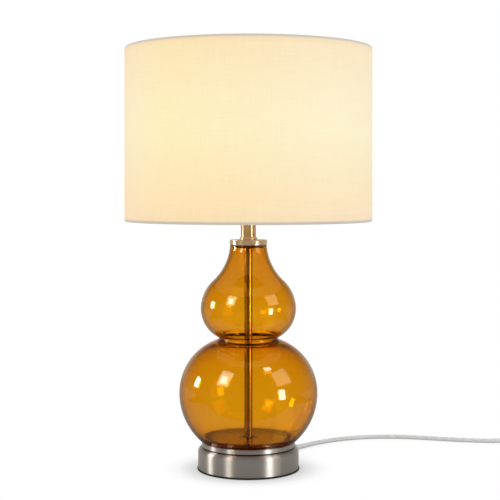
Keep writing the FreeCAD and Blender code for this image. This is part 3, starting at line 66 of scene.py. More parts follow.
def addNode(tree, kind, inputs=None, **settings):
    node = tree.nodes.new(kind)
    for name, value in settings.items():
        setattr(node, name, value)
    fillInputs(tree, node, inputs or {})
    return node


def newMaterial(name, inputs):
    material = bpy.data.materials.new(name)
    material.use_nodes = True
    shader = material.node_tree.nodes["Principled BSDF"]
    fillInputs(material.node_tree, shader, inputs)
    return material, material.node_tree, shader


def linked(tree, source, node, socket):
    tree.links.new(source, node.inputs[socket])


def objectPoint(tree, scale=(1.0, 1.0, 1.0)):
    place = addNode(tree, "ShaderNodeTexCoord")
    return addNode(tree, "ShaderNodeMapping", {"Vector": place.outputs["Object"], "Scale": scale}).outputs[0]


def objectAxis(tree, axis):
    return addNode(tree, "ShaderNodeSeparateXYZ", {"Vector": objectPoint(tree)}).outputs[axis]


def surfacePoint(tree, scale=(1.0, 1.0, 1.0)):
    # Metres round the piece and metres along its section, from its own map.
    place = addNode(tree, "ShaderNodeUVMap", uv_map="surface")
    return addNode(tree, "ShaderNodeMapping", {"Vector": place.outputs["UV"], "Scale": scale}).outputs[0]


def noiseAt(tree, point, scale, detail=2.0, roughness=0.5):
    values = {"Vector": point, "Scale": scale, "Detail": detail, "Roughness": roughness}
    return addNode(tree, "ShaderNodeTexNoise", values).outputs["Fac"]


def stretched(tree, value, low, high, outLow=0.0, outHigh=1.0):
    inputs = {"Value": value, "From Min": low, "From Max": high, "To Min": outLow, "To Max": outHigh}
    return addNode(tree, "ShaderNodeMapRange", inputs).outputs["Result"]


def combined(tree, first, second, operation="MULTIPLY"):
    return addNode(tree, "ShaderNodeMath", {0: first, 1: second}, operation=operation).outputs[0]


def colourSteps(tree, value, steps):
    # steps are places from 0 to 1 with their colours.
    ramp = addNode(tree, "ShaderNodeValToRGB", {"Fac": value})
    elements = ramp.color_ramp.elements
    while len(elements) < len(steps):
        elements.new(1.0)
    for element, (place, colour) in zip(elements, steps):
        element.position = place
        element.color = (*colour, 1.0)
    return ramp.outputs["Color"]


def heightSteps(tree, levels, steps):
    # A colour that changes with the height between two levels in millimetres.
    low, high = levels
    return colourSteps(tree, stretched(tree, objectAxis(tree, "Z"), low * mm, high * mm), steps)


def multiplied(tree, colour, factor):
    return addNode(tree, "ShaderNodeVectorMath", {0: colour, 1: factor}, operation="MULTIPLY").outputs[0]


def mixedColour(tree, share, first, second):
    # Its colour sockets go by number, because the other kinds have the same names.
    return addNode(tree, "ShaderNodeMix", {"Factor": share, 6: first, 7: second}, data_type="RGBA").outputs[2]


def bumpFrom(tree, shader, height, distance, strength=1.0):
    values = {"Height": height, "Distance": distance, "Strength": strength}
    linked(tree, addNode(tree, "ShaderNodeBump", values).outputs["Normal"], shader, "Normal")


def glossFrom(tree, shader, noise, span, gloss):
    # As the noise goes through its span, the roughness goes through gloss.
    linked(tree, stretched(tree, noise, *span, *gloss), shader, "Roughness")


def placed(name, data):
    piece = bpy.data.objects.new(name, data)
    bpy.context.scene.collection.objects.link(piece)
    return piece


def appliedMesh(piece):
    # The mesh of a piece with its curve or modifiers applied; the piece itself goes.
    graph = bpy.context.evaluated_depsgraph_get()
    mesh = bpy.data.meshes.new_from_object(piece.evaluated_get(graph))
    bpy.data.objects.remove(piece)
    return mesh


def newMesh(name, places, faces, uvs=None, sharpAngle=32.0):
    mesh = bpy.data.meshes.new(name)
    mesh.from_pydata(places, [], faces)
    if uvs:
        layer = mesh.uv_layers.new(name="surface")
        for loop, place in zip(layer.data, uvs):
            loop.uv = place
    mesh.shade_smooth()
    mesh.set_sharp_from_angle(angle=math.radians(sharpAngle))
    return placed(name, mesh)


def rightWayOut(piece):
    shape = bmesh.new()
    shape.from_mesh(piece.data)
    bmesh.ops.recalc_face_normals(shape, faces=shape.faces)
    shape.to_mesh(piece.data)
    shape.free()


def dressed(piece, material, replaces=(), body="lamp"):
    piece.data.materials.clear()
    piece.data.materials.append(material)
    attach(piece, body)
    if replaces:
        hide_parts(*replaces)


def lathe(name, outline, turns=192, sharpAngle=32.0):
    # outline is a closed section of (radius, height) in millimetres; points on the axis become poles.
    rings, places = [], []
    widest = max(radius for radius, height in outline) * mm
    for radius, height in outline:
        if radius < 1e-6:
            rings.append([len(places)] * turns)
            places.append((0.0, 0.0, height * mm))
            continue
        rings.append(list(range(len(places), len(places) + turns)))
        for step in range(turns):
            angle = 2 * math.pi * step / turns
            places.append((radius * mm * math.cos(angle), radius * mm * math.sin(angle), height * mm))
    faces, uvs, run = [], [], 0.0
    around = 2 * math.pi * widest / turns
    for index, here in enumerate(outline):
        there = outline[(index + 1) % len(outline)]
        length = math.dist(here, there) * mm
        low, high = rings[index], rings[(index + 1) % len(outline)]
        if low[0] != low[1] or high[0] != high[1]:
            for step in range(turns):
                after = (step + 1) % turns
                corners = [(low[step], step, run), (low[after], step + 1, run),
                           (high[after], step + 1, run + length), (high[step], step, run + length)]
                if low[0] == low[1]:
                    corners = corners[1:]
                elif high[0] == high[1]:
                    corners = corners[:3]
                faces.append([corner[0] for corner in corners])
                uvs.extend((corner[1] * around, corner[2]) for corner in corners)
        run += length
    piece = newMesh(name, places, faces, uvs, sharpAngle)
    rightWayOut(piece)
    return piece


def arcOf(centre, reach, start, end, step=3.0):
    # Points of an arc between two angles in degrees, both ends included.
    count = max(2, math.ceil(abs(end - start) / step))
    points = []
    for index in range(count + 1):
        angle = math.radians(start + (end - start) * index / count)
        points.append((centre[0] + reach * math.cos(angle), centre[1] + reach * math.sin(angle)))
    return points


def softened(corners, step=15.0):
    # A closed section whose corners (radius, height, round) are rounded off.
    points = []
    for index, corner in enumerate(corners):
        here = Vector(corner[:2])
        bend = corner[2] if len(corner) > 2 else 0.0
        if not bend:
            points.append(tuple(here))
            continue
        before = (Vector(corners[index - 1][:2]) - here).normalized()
        after = (Vector(corners[(index + 1) % len(corners)][:2]) - here).normalized()
        half = before.angle(after) / 2
        centre = here + (before + after).normalized() * (bend / math.sin(half))
        first = here + before * (bend / math.tan(half)) - centre
        last = here + after * (bend / math.tan(half)) - centre
        turn = first.angle_signed(last)
        count = max(2, math.ceil(math.degrees(abs(turn)) / step))
        for part in range(count + 1):
            share = part / count
            spot = first.slerp(last, share) if abs(turn) > 1e-4 else last
            points.append(tuple(centre + spot.normalized() * bend))
    return points


def appliedNodes(name, base, makeTree, values, material):
    # Runs a geometry tree on a base mesh and keeps the result as a plain mesh.
    tree = bpy.data.node_groups.new(name, "GeometryNodeTree")
    tree.interface.new_socket("Geometry", in_out="INPUT", socket_type="NodeSocketGeometry")
    tree.interface.new_socket("Geometry", in_out="OUTPUT", socket_type="NodeSocketGeometry")
    sockets = {}
    for label, value in values.items():
        socket = tree.interface.new_socket(label, in_out="INPUT", socket_type="NodeSocketFloat")
        socket.default_value = value
        sockets[label] = socket.identifier
    given = addNode(tree, "NodeGroupInput")
    shape = makeTree(tree, given.outputs)
    real = addNode(tree, "GeometryNodeRealizeInstances", {"Geometry": shape})
    painted = addNode(tree, "GeometryNodeSetMaterial", {"Geometry": real.outputs[0], "Material": material})
    addNode(tree, "NodeGroupOutput", {0: painted.outputs[0]})
    source = placed(name + "Source", base)
    modifier = source.modifiers.new(name, "NODES")
    modifier.node_group = tree
    for label, value in values.items():
        modifier[sockets[label]] = value
    mesh = appliedMesh(source)
    mesh.name = name
    return placed(name, mesh)


# Camera, at the photograph's level and distance

cameraPlace = {"distance": 1.4895, "height": 0.3429, "lens": 88.2, "shiftX": 0.0032, "shiftY": -0.128}


def makeCamera():
    data = bpy.data.cameras.new("photoCamera")
    data.lens = cameraPlace["lens"]
    data.sensor_width = 36.0
    data.shift_x, data.shift_y = cameraPlace["shiftX"], cameraPlace["shiftY"]
    data.clip_start = 0.05
    camera = placed("photoCamera", data)
    camera.location = (0.0, -cameraPlace["distance"], cameraPlace["height"])
    camera.rotation_euler = (math.pi / 2, 0.0, 0.0)
    bpy.context.scene.camera = camera


makeCamera()
print("camera set")


# Mains lead, routed over the same points as the solid one

leadSizes = {"diameter": 5.0, "coreSpread": 1.05, "coreRadius": 0.85, "corePitch": 26.0, "coreStep": 2.2,
             "coreSides": 9, "steps": 6, "sideSteps": 6}
coilSizes = {"across": 476.0, "back": 191.9, "radius": 38.9, "pitch": 5.5, "turnsIn": 3.25,
             "level": 3.5, "climbTurns": 0.5, "turnPoints": 16}
bootEnd = (42.01, 72.763, 10.5)
firstRoute = [
    bootEnd, (46.0, 79.674, 10.5), (52.0, 89.7, 8.4), (60.3, 102.3, 4.4), (71.0, 116.0, 2.5),
    (88.0, 134.8, 2.5), (115.0, 156.5, 2.5), (149.0, 172.0, 2.5), (187.0, 177.5, 2.5),
    (224.0, 172.5, 2.5), (262.0, 160.5, 2.5), (297.0, 151.5, 2.5), (321.0, 148.6, 2.5),
    (337.0, 150.4, 2.6), (347.0, 152.2, 3.6), (357.0, 153.0, 6.0), (367.0, 153.0, 6.0),
]
linkRoute = [(419.0, 153.0, 6.0), (430.0, 153.0, 6.0), (441.5, 153.2, 3.8), (455.5, 153.0, 3.5),
             (470.0, 153.0, 3.5)]
tailRoute = [(470.0, 230.8, 9.0), (462.5, 230.8, 9.0), (454.0, 230.8, 6.95), (446.0, 230.8, 6.95)]


def coilRoute():
    sizes = coilSizes
    turns = 2 * sizes["turnsIn"]
    steps = int(turns * sizes["turnPoints"])
    widen = 1 / math.cos(math.pi / sizes["turnPoints"])
    points = []
    for step in range(1, steps):
        turn = turns * step / steps
        radius = sizes["radius"] - sizes["pitch"] * (sizes["turnsIn"] - abs(turn - sizes["turnsIn"]))
        # Half way through, the coil climbs smoothly onto its second layer.
        climb = min(1.0, max(0.0, (turn - sizes["turnsIn"]) / sizes["climbTurns"] + 0.5))
        level = sizes["level"] + sizes["pitch"] * climb * climb * (3 - 2 * climb)
        angle = 2 * math.pi * turn - math.pi / 2
        across, back = radius * widen * math.cos(angle), radius * widen * math.sin(angle)
        points.append((sizes["across"] + across, sizes["back"] + back, level))
    return points


def leadCurve(name, points, diameter):
    data = bpy.data.curves.new(name, "CURVE")
    data.dimensions = "3D"
    spline = data.splines.new("NURBS")
    spline.points.add(len(points) - 1)
    for point, place in zip(spline.points, points):
        point.co = (*(part * mm for part in place), 1.0)
    spline.order_u = 3
    spline.use_endpoint_u = True
    data.resolution_u = leadSizes["steps"]
    data.bevel_depth = diameter * mm / 2
    data.bevel_resolution = leadSizes["sideSteps"]
    data.use_fill_caps = bool(diameter)
    return placed(name, data)


def twistedPair(tree, given):
    # Two strands that turn round each other along the route.
    route = addNode(tree, "GeometryNodeMeshToCurve", {"Mesh": given["Geometry"]})
    even = addNode(tree, "GeometryNodeResampleCurve", {"Curve": route.outputs[0], "Length": given["Step"]},
                   mode="LENGTH")
    along = addNode(tree, "GeometryNodeSplineParameter").outputs["Length"]
    tilt = combined(tree, combined(tree, along, given["Pitch"], "DIVIDE"), 2 * math.pi)
    tilted = addNode(tree, "GeometryNodeSetCurveTilt", {"Curve": even.outputs[0], "Tilt": tilt})
    inputs = {"Resolution": leadSizes["coreSides"], "Radius": given["Radius"]}
    ring = addNode(tree, "GeometryNodeCurvePrimitiveCircle", inputs).outputs[0]
    sides = addNode(tree, "GeometryNodeJoinGeometry")
    for sign in (-1, 1):
        aside = addNode(tree, "ShaderNodeCombineXYZ", {"X": combined(tree, given["Spread"], sign)}).outputs[0]
        moved = addNode(tree, "GeometryNodeTransform", {"Geometry": ring, "Translation": aside})
        tree.links.new(moved.outputs[0], sides.inputs[0])
    inputs = {"Curve": tilted.outputs[0], "Profile Curve": sides.outputs[0], "Fill Caps": True}
    return addNode(tree, "GeometryNodeCurveToMesh", inputs).outputs[0]


def twistedCores(name, points, material):
    line = appliedMesh(leadCurve(name + "Line", points, 0.0))
    values = {
        "Step": leadSizes["coreStep"] * mm, "Pitch": leadSizes["corePitch"] * mm,
        "Spread": leadSizes["coreSpread"] * mm, "Radius": leadSizes["coreRadius"] * mm,
    }
    piece = appliedNodes(name, line, twistedPair, values, material)
    piece.data.shade_smooth()
    return piece


# Finishes; a colour or roughness that nodes drive has a plain value too, for programs that can't follow nodes

leadLook = {
    "shader": {"Base Color": screenColour(234, 233, 234), "Roughness": 0.2, "IOR": 1.45, "Alpha": 0.6},
    "scuffs": 900.0, "gloss": (0.14, 0.3), "ripples": 320.0, "rippleDepth": 0.00001,
}


def makeClearLead():
    # Soft clear sheath, so the cores show through it.
    look = leadLook
    material, tree, shader = newMaterial("clearLead", look["shader"])
    glossFrom(tree, shader, noiseAt(tree, objectPoint(tree), look["scuffs"], 3.0), (0.3, 0.7), look["gloss"])
    bumpFrom(tree, shader, noiseAt(tree, objectPoint(tree), look["ripples"]), look["rippleDepth"])
    return material


coreLook = {
    "shader": {"Base Color": screenColour(216, 213, 208), "Roughness": 0.5},
    "strands": 1400.0, "strandDepth": 0.00006,
    "colours": [(0.3, screenColour(220, 219, 218)), (0.7, screenColour(240, 239, 238))],
}


def makeTinnedCore():
    look = coreLook
    material, tree, shader = newMaterial("tinnedCore", look["shader"])
    strands = noiseAt(tree, objectPoint(tree), look["strands"])
    linked(tree, colourSteps(tree, strands, look["colours"]), shader, "Base Color")
    bumpFrom(tree, shader, strands, look["strandDepth"])
    return material


satinLook = {"metallic": 0.8, "turn": 0.25, "lines": (14.0, 5200.0, 1.0), "lineDepth": 0.000012,
             "clouds": 45.0, "smoother": 0.04, "rougher": 0.06, "shadow": 0.03, "dullFrom": 33.30,
             "dullTo": 33.38, "dull": 0.1}


def makeSatinMetal(name, colour, roughness, paintedGrooveShade=None, brushed=1.0):
    # Turned and brushed round the axis, so highlights stand upright; between two given levels the colour goes
    # nearly black, a painted shade in a groove.
    look = satinLook
    material, tree, shader = newMaterial(name, {
        "Base Color": colour, "Metallic": look["metallic"], "Roughness": roughness, "Anisotropic": brushed,
        "Anisotropic Rotation": look["turn"],
    })
    tangent = addNode(tree, "ShaderNodeTangent", direction_type="UV_MAP", uv_map="surface")
    linked(tree, tangent.outputs["Tangent"], shader, "Tangent")
    lines = noiseAt(tree, surfacePoint(tree, look["lines"]), 1.0, 3.0, 0.6)
    bumpFrom(tree, shader, lines, look["lineDepth"])
    clouded = combined(tree, lines, noiseAt(tree, objectPoint(tree), look["clouds"], 3.0), "ADD")
    glossFrom(tree, shader, clouded, (0.7, 1.3), (roughness - look["smoother"], roughness + look["rougher"]))
    if paintedGrooveShade:
        # Painted shade: the groove between the two levels is darkened in the base colour.
        shadow = [channel * look["shadow"] for channel in colour]
        steps = [(0.0, shadow), (0.8, shadow), (1.0, colour)]
        linked(tree, heightSteps(tree, paintedGrooveShade, steps), shader, "Base Color")
        # The face under the glass is blasted dull, so it takes light from every side.
        dull = stretched(tree, objectAxis(tree, "Z"), look["dullFrom"] * mm, look["dullTo"] * mm,
                         look["metallic"], look["dull"])
        linked(tree, dull, shader, "Metallic")
    return material


plainLook = {"smoother": 0.06, "rougher": 0.1, "finer": 9.0, "depth": 0.00001}


def makePlainMetal(name, colour, roughness, metallic=1.0, scale=160.0):
    look = plainLook
    inputs = {"Base Color": colour, "Metallic": metallic, "Roughness": roughness}
    material, tree, shader = newMaterial(name, inputs)
    cloud = noiseAt(tree, objectPoint(tree), scale, 4.0, 0.6)
    glossFrom(tree, shader, cloud, (0.3, 0.7), (roughness - look["smoother"], roughness + look["rougher"]))
    bumpFrom(tree, shader, noiseAt(tree, objectPoint(tree), scale * look["finer"]), look["depth"])
    return material


mouldedLook = {"ior": 1.49, "coatRoughness": 0.12, "clouds": 60.0, "smoother": 0.04, "rougher": 0.07,
               "darker": 0.94}


def makeMoulded(name, colour, roughness, fine=1500.0, height=0.00001, coat=0.0):
    # Moulded plastic: a fine spark-eroded grain and slightly uneven gloss.
    look = mouldedLook
    material, tree, shader = newMaterial(name, {
        "Base Color": colour, "Roughness": roughness, "IOR": look["ior"], "Coat Weight": coat,
        "Coat Roughness": look["coatRoughness"],
    })
    cloud = noiseAt(tree, objectPoint(tree), look["clouds"], 3.0)
    glossFrom(tree, shader, cloud, (0.25, 0.75), (roughness - look["smoother"], roughness + look["rougher"]))
    darker = [channel * look["darker"] for channel in colour]
    linked(tree, colourSteps(tree, cloud, [(0.2, darker), (0.8, colour)]), shader, "Base Color")
    bumpFrom(tree, shader, noiseAt(tree, objectPoint(tree), fine), height)
    return material


glassLook = {
    "shader": {"Base Color": (0.85, 0.545, 0.03), "Roughness": 0.0, "IOR": 1.5, "Transmission Weight": 1.0},
    "volume": {"Color": (0.935, 0.745, 0.05), "Density": 300.0},
    "waveStretch": (1.0, 1.0, 1.6), "waves": 11.0, "waveDepth": 0.0006, "waveStrength": 0.5,
    "levels": (30.0, 270.0),
    "tints": [(0.0, (0.90, 0.708, 0.14)), (0.45, (0.90, 0.70, 0.13)), (0.63, (0.93, 0.735, 0.14)),
              (0.8, (0.885, 0.67, 0.11)), (1.0, (0.848, 0.593, 0.09))],
}


def makeAmberGlass():
    look = glassLook
    material, tree, shader = newMaterial("amberGlass", look["shader"])
    linked(tree, heightSteps(tree, look["levels"], look["tints"]), shader, "Base Color")
    waves = noiseAt(tree, objectPoint(tree, look["waveStretch"]), look["waves"], 1.0)
    bumpFrom(tree, shader, waves, look["waveDepth"], look["waveStrength"])
    volume = addNode(tree, "ShaderNodeVolumeAbsorption", look["volume"]).outputs["Volume"]
    linked(tree, volume, tree.nodes["Material Output"], "Volume")
    return material


opalLook = {
    "shader": {"Base Color": screenColour(205, 198, 182), "Roughness": 0.22, "IOR": 1.5,
               "Emission Strength": 1.0},
    "levels": (362.0, 400.0),
    "glow": [(0.0, (0.50, 0.35, 0.17)), (0.6, (0.72, 0.58, 0.36)), (1.0, (0.80, 0.66, 0.42))],
}


def makeOpalGlass():
    look = opalLook
    material, tree, shader = newMaterial("opalGlass", look["shader"])
    linked(tree, heightSteps(tree, look["levels"], look["glow"]), shader, "Emission Color")
    return material


linenLook = {
    "shader": {"Base Color": (0.40, 0.37, 0.33), "Roughness": 0.85, "Specular IOR Level": 0.2,
               "Sheen Weight": 0.5, "Sheen Roughness": 0.45, "Sheen Tint": screenColour(255, 238, 224),
               "Emission Strength": 1.0},
    "thread": 0.52, "weftShare": 0.93, "weaveDepth": 0.00012, "weaveStrength": 0.8,
    "slub": 0.077, "weftSlubs": (30.0, 620.0, 1.0), "warpSlubs": (700.0, 22.0, 1.0), "slubHeight": 0.6,
    "patches": (55.0, 70.0, 1.0), "patchShare": 0.35, "levels": (300.0, 510.0),
    # The trim is darkest, then come the hems, and the glow is strongest level with the bulb.
    "glow": [(0.0, (0.16, 0.13, 0.09)), (0.011, (0.2, 0.165, 0.12)), (0.019, (0.55, 0.38, 0.145)),
             (0.06, (0.585, 0.40, 0.16)), (0.13, (0.595, 0.42, 0.155)), (0.5, (0.60, 0.51, 0.235)),
             (0.68, (0.60, 0.49, 0.23)), (0.95, (0.585, 0.43, 0.18)), (0.983, (0.55, 0.38, 0.145)),
             (0.991, (0.22, 0.19, 0.14))],
    # Daylight from the right makes that side paler.
    "side": 0.15,
    "paler": [(0.05, (1.0, 1.0, 1.0)), (0.2, (1.0, 1.0, 0.80)), (0.5, (1.0, 1.0, 0.97)),
              (0.8, (1.0, 1.05, 1.27))],
}


def threadBands(tree, scale, direction):
    inputs = {"Vector": surfacePoint(tree), "Scale": scale, "Distortion": 1.4, "Detail": 1.0,
              "Detail Scale": 0.06}
    bands = addNode(tree, "ShaderNodeTexWave", inputs, wave_type="BANDS", bands_direction=direction)
    return bands.outputs["Fac"]


def makeLinen():
    # Fine linen lit from inside, with slubs along both ways of the weave.
    look = linenLook
    material, tree, shader = newMaterial("shadeLinen", look["shader"])
    scale = 2 * math.pi / (20 * look["thread"] * mm)
    weave = combined(tree, threadBands(tree, scale, "X"), threadBands(tree, scale * look["weftShare"], "Y"))
    weftSlubs = noiseAt(tree, surfacePoint(tree, look["weftSlubs"]), 1.0, 4.0, 0.65)
    warpSlubs = noiseAt(tree, surfacePoint(tree, look["warpSlubs"]), 1.0, 4.0, 0.65)
    slubs = combined(tree, weftSlubs, warpSlubs, "ADD")
    patches = noiseAt(tree, surfacePoint(tree, look["patches"]), 1.0, 3.0)
    clouded = combined(tree, slubs, combined(tree, patches, look["patchShare"]), "ADD")
    grain = stretched(tree, clouded, 0.75, 1.6, 1 + look["slub"], 1 - look["slub"])
    glow = heightSteps(tree, look["levels"], look["glow"])
    aside = stretched(tree, objectAxis(tree, "X"), -look["side"], look["side"])
    lit = multiplied(tree, glow, colourSteps(tree, aside, look["paler"]))
    linked(tree, multiplied(tree, lit, grain), shader, "Emission Color")
    raised = combined(tree, weave, combined(tree, slubs, look["slubHeight"]), "ADD")
    bumpFrom(tree, shader, raised, look["weaveDepth"], look["weaveStrength"])
    return material


linerLook = {
    "shader": {"Base Color": screenColour(236, 228, 208), "Roughness": 0.4, "Emission Strength": 1.0},
    "ripples": 30.0, "rippleDepth": 0.0004, "rippleStrength": 0.4, "levels": (302.0, 508.0),
    "glow": [(0.0, (0.16, 0.11, 0.05)), (0.5, (0.32, 0.24, 0.12)), (1.0, (0.20, 0.14, 0.07))],
}


def makeLiner():
    look = linerLook
    material, tree, shader = newMaterial("shadeLinerSheet", look["shader"])
    linked(tree, heightSteps(tree, look["levels"], look["glow"]), shader, "Emission Color")
    ripples = noiseAt(tree, objectPoint(tree), look["ripples"])
    bumpFrom(tree, shader, ripples, look["rippleDepth"], look["rippleStrength"])
    return material


feltLook = {
    "shader": {"Base Color": screenColour(42, 39, 34), "Roughness": 0.95, "Sheen Weight": 0.05,
               "Sheen Roughness": 0.6},
    "fuzz": 1300.0, "fuzzDepth": 0.0004,
    "colours": [(0.3, screenColour(14, 12, 10)), (0.7, screenColour(34, 31, 26))],
}


def makeFelt():
    look = feltLook
    material, tree, shader = newMaterial("feltPad", look["shader"])
    fuzz = noiseAt(tree, objectPoint(tree), look["fuzz"], 4.0, 0.7)
    linked(tree, colourSteps(tree, fuzz, look["colours"]), shader, "Base Color")
    bumpFrom(tree, shader, fuzz, look["fuzzDepth"])
    return material


finishes = {
    "felt_pad": makeFelt(),
    "satin_metal": makeSatinMetal("satinNickel", screenColour(212, 205, 196), 0.42),
    # The seat's groove above the drum, 26.6 to 28.5 mm up, gets painted shade.
    "seat_metal": makeSatinMetal("seatNickel", screenColour(212, 205, 196), 0.42, (26.6, 28.5)),
    # Cap, collar and neck are the same satin nickel as the base; their warmer colours are a painted
    # reflection of the warm light from the shade and the amber glass.
    "cap_metal": makeSatinMetal("capNickelWarmReflection", screenColour(248, 228, 198), 0.34),
    "neck_metal": makeSatinMetal("neckNickelWarmReflection", screenColour(240, 206, 160), 0.32),
    "rod_metal": makeSatinMetal("rodNickel", screenColour(214, 196, 172), 0.15, brushed=0.5),
    "plated_steel": makePlainMetal("zincPlate", screenColour(190, 190, 186), 0.34),
    "weight_iron": makePlainMetal("castIron", screenColour(62, 60, 58), 0.7, 0.6, 90.0),
    "clear_gasket": makeMoulded("amberGasket", screenColour(96, 60, 30), 0.5),
    "amber_glass": makeAmberGlass(),
    "holder_plastic": makeMoulded("holderWhite", screenColour(240, 236, 226), 0.36, coat=0.1),
    "contact_brass": makePlainMetal("contactBrass", screenColour(206, 172, 96), 0.26),
    "black_glass": makeMoulded("insulatorBlack", screenColour(26, 26, 30), 0.12, coat=0.4),
    "bulb_metal": makePlainMetal("bulbAluminium", screenColour(206, 205, 202), 0.3),
    "opal_glass": makeOpalGlass(),
    "white_wire": makeMoulded("wireWhite", screenColour(236, 233, 224), 0.32, 700.0, 0.00002),
    "shade_liner": makeLiner(),
    "shade_fabric": makeLinen(),
    "clear_lead": makeClearLead(),
    "core_insulation": makeMoulded("coreInsulation", screenColour(120, 78, 48), 0.4),
    "tie_plastic": makeMoulded("tieWhite", screenColour(226, 225, 220), 0.45),
    "switch_plastic": makeMoulded("switchIvory", screenColour(232, 229, 220), 0.22, 1800.0, 0.000006, 0.3),
    "pin_metal": makePlainMetal("pinNickel", screenColour(212, 210, 205), 0.16),
    "sleeve_plastic": makeMoulded("sleeveBlack", screenColour(24, 24, 24), 0.4),
}
tinnedCore = makeTinnedCore()
print("finishes made:", len(finishes) + 1)

slotOf = {part["node"]: part["material_slot"] for part in frame["record"]["subparts"]}
for nodeName, cadNode in cadNodes.items():
    cadNode.data.materials.clear()
    cadNode.data.materials.append(finishes[slotOf[nodeName]])


# The lead with its twisted cores, and what is on it

secondRoute = linkRoute + coilRoute() + tailRoute

firstLead = leadCurve("leadToSwitch", firstRoute, leadSizes["diameter"])
secondLead = leadCurve("leadToPlug", secondRoute, leadSizes["diameter"])
dressed(firstLead, finishes["clear_lead"], ["cord_lead"])
dressed(secondLead, finishes["clear_lead"], ["cord_link", "cord_coil", "cord_tail"])
firstCores = twistedCores("coresToSwitch", firstRoute, tinnedCore)
secondCores = twistedCores("coresToPlug", secondRoute, tinnedCore)
for cores in (firstCores, secondCores):
    dressed(cores, tinnedCore)
print("lead laid:", len(firstRoute) + len(secondRoute), "points")


# Strain relief where the lead leaves the drum: a flange and a tapered boot with grooves round it

bushSizes = {"start": 57.52, "lip": 5.1, "lipEnd": 59.22, "neck": 4.5, "flangeStart": 61.07, "flange": 6.5,
             "flangeEnd": 62.87, "end": 84.02, "tip": 3.2, "height": 10.5, "azimuth": 60.0,
             "firstGroove": 66.0, "grooves": 6, "pitch": 2.9, "gap": 1.3, "slope": 0.2, "depth": 0.7,
             "lipRound": 0.3, "flangeRound": 0.6, "tipRound": 0.5, "turns": 64}


def makeBush():
    size = bushSizes
    slope, depth = size["slope"], size["depth"]
    boot = [(size["neck"], size["flangeEnd"])]
    for index in range(size["grooves"]):
        low = size["firstGroove"] + size["pitch"] * index
        high = low + size["gap"]
        for level, inward in ((low, 0.0), (low + slope, depth), (high - slope, depth), (high, 0.0)):
            share = (level - size["flangeEnd"]) / (size["end"] - size["flangeEnd"])
            boot.append((size["neck"] + (size["tip"] - size["neck"]) * share - inward, level))
    bush = lathe("leadBush", softened([
        (0.0, size["start"]), (size["lip"], size["start"], size["lipRound"]), (size["lip"], size["lipEnd"]),
        (size["neck"], size["lipEnd"]), (size["neck"], size["flangeStart"]),
        (size["flange"], size["flangeStart"]), (size["flange"], size["flangeEnd"], size["flangeRound"]),
        *boot, (size["tip"], size["end"], size["tipRound"]), (0.0, size["end"]),
    ]), size["turns"])
    turn = Matrix.Rotation(math.radians(size["azimuth"]), 4, "Z") @ Matrix.Rotation(math.pi / 2, 4, "Y")
    bush.data.transform(Matrix.Translation((0.0, 0.0, size["height"] * mm)) @ turn)
    dressed(bush, finishes["clear_lead"], ["cord_bush"])


makeBush()


# Weighted base and the seat of the glass

baseSizes = {"padRadius": 62.02, "padHeight": 2.0, "drumRadius": 61.02, "drumTop": 26.6, "wall": 1.2,
             "shoulder": 5.0, "rodHole": 5.1, "seatRadius": 56.52, "seatHeight": 6.8, "seatWall": 2.0,
             "grooveHeight": 1.2, "grooveDepth": 1.0, "grooveRound": 0.3, "edge": 0.8, "padUnder": 0.5,
             "padOver": 0.7, "footRound": 0.25}


def makeBase():
    size = baseSizes
    radius, foot = size["padRadius"], size["padHeight"]
    pad = lathe("feltPad", softened([(0.0, 0.0), (radius, 0.0, size["padUnder"]),
                                     (radius, foot, size["padOver"]), (0.0, foot)]))
    dressed(pad, finishes["felt_pad"], ["base_pad"])

    outer, top, wall, hole = size["drumRadius"], size["drumTop"], size["wall"], size["rodHole"]
    drum = lathe("baseDrum", softened([
        (hole, top), (hole, top - wall), (outer - wall, top - wall, size["shoulder"] - wall),
        (outer - wall, foot), (outer, foot, size["footRound"]), (outer, top, size["shoulder"]),
    ], 5.0))
    dressed(drum, finishes["satin_metal"], ["base_shell"])

    seat, height, seatWall = size["seatRadius"], size["seatHeight"], size["seatWall"]
    groove, inner = size["grooveHeight"], seat - size["grooveDepth"]
    section = softened([
        (inner, 0.0), (inner, groove), (seat, groove, size["grooveRound"]),
        (seat, height, size["edge"]), (hole, height), (hole, height - seatWall),
        (seat - seatWall, height - seatWall), (seat - seatWall, 0.0),
    ])
    dish = lathe("glassSeat", [(radius, level + top) for radius, level in section])
    dressed(dish, finishes["seat_metal"], ["glass_seat"])


makeBase()
print("base made")


# Double gourd glass

gourdSizes = {"foot": 34.0, "height": 237.0, "wall": 3.5, "lowerRadius": 83.8, "lowerLevel": 58.1,
              "lowerUnder": 76.6, "lowerOver": 67.5, "waist": 2.0, "upperRadius": 57.7, "upperLevel": 160.1,
              "upperUnder": 38.5, "upperOver": 45.8, "neck": 65.3, "lip": 22.1, "edge": 1.1, "floor": 4.0,
              "floorRound": 12.0, "heel": 2.0, "heelTop": 3.0, "pushUp": 1.0, "hole": 7.0, "standBore": 43.56,
              "ring": 31.0, "ringThicker": 3.2, "ringUnder": 1.0, "ringOver": 3.0, "ringWaist": 3.4,
              "margin": 0.2, "turns": 288}


def bearing(centre, point):
    return math.degrees(math.atan2(point[1] - centre[1], point[0] - centre[0]))


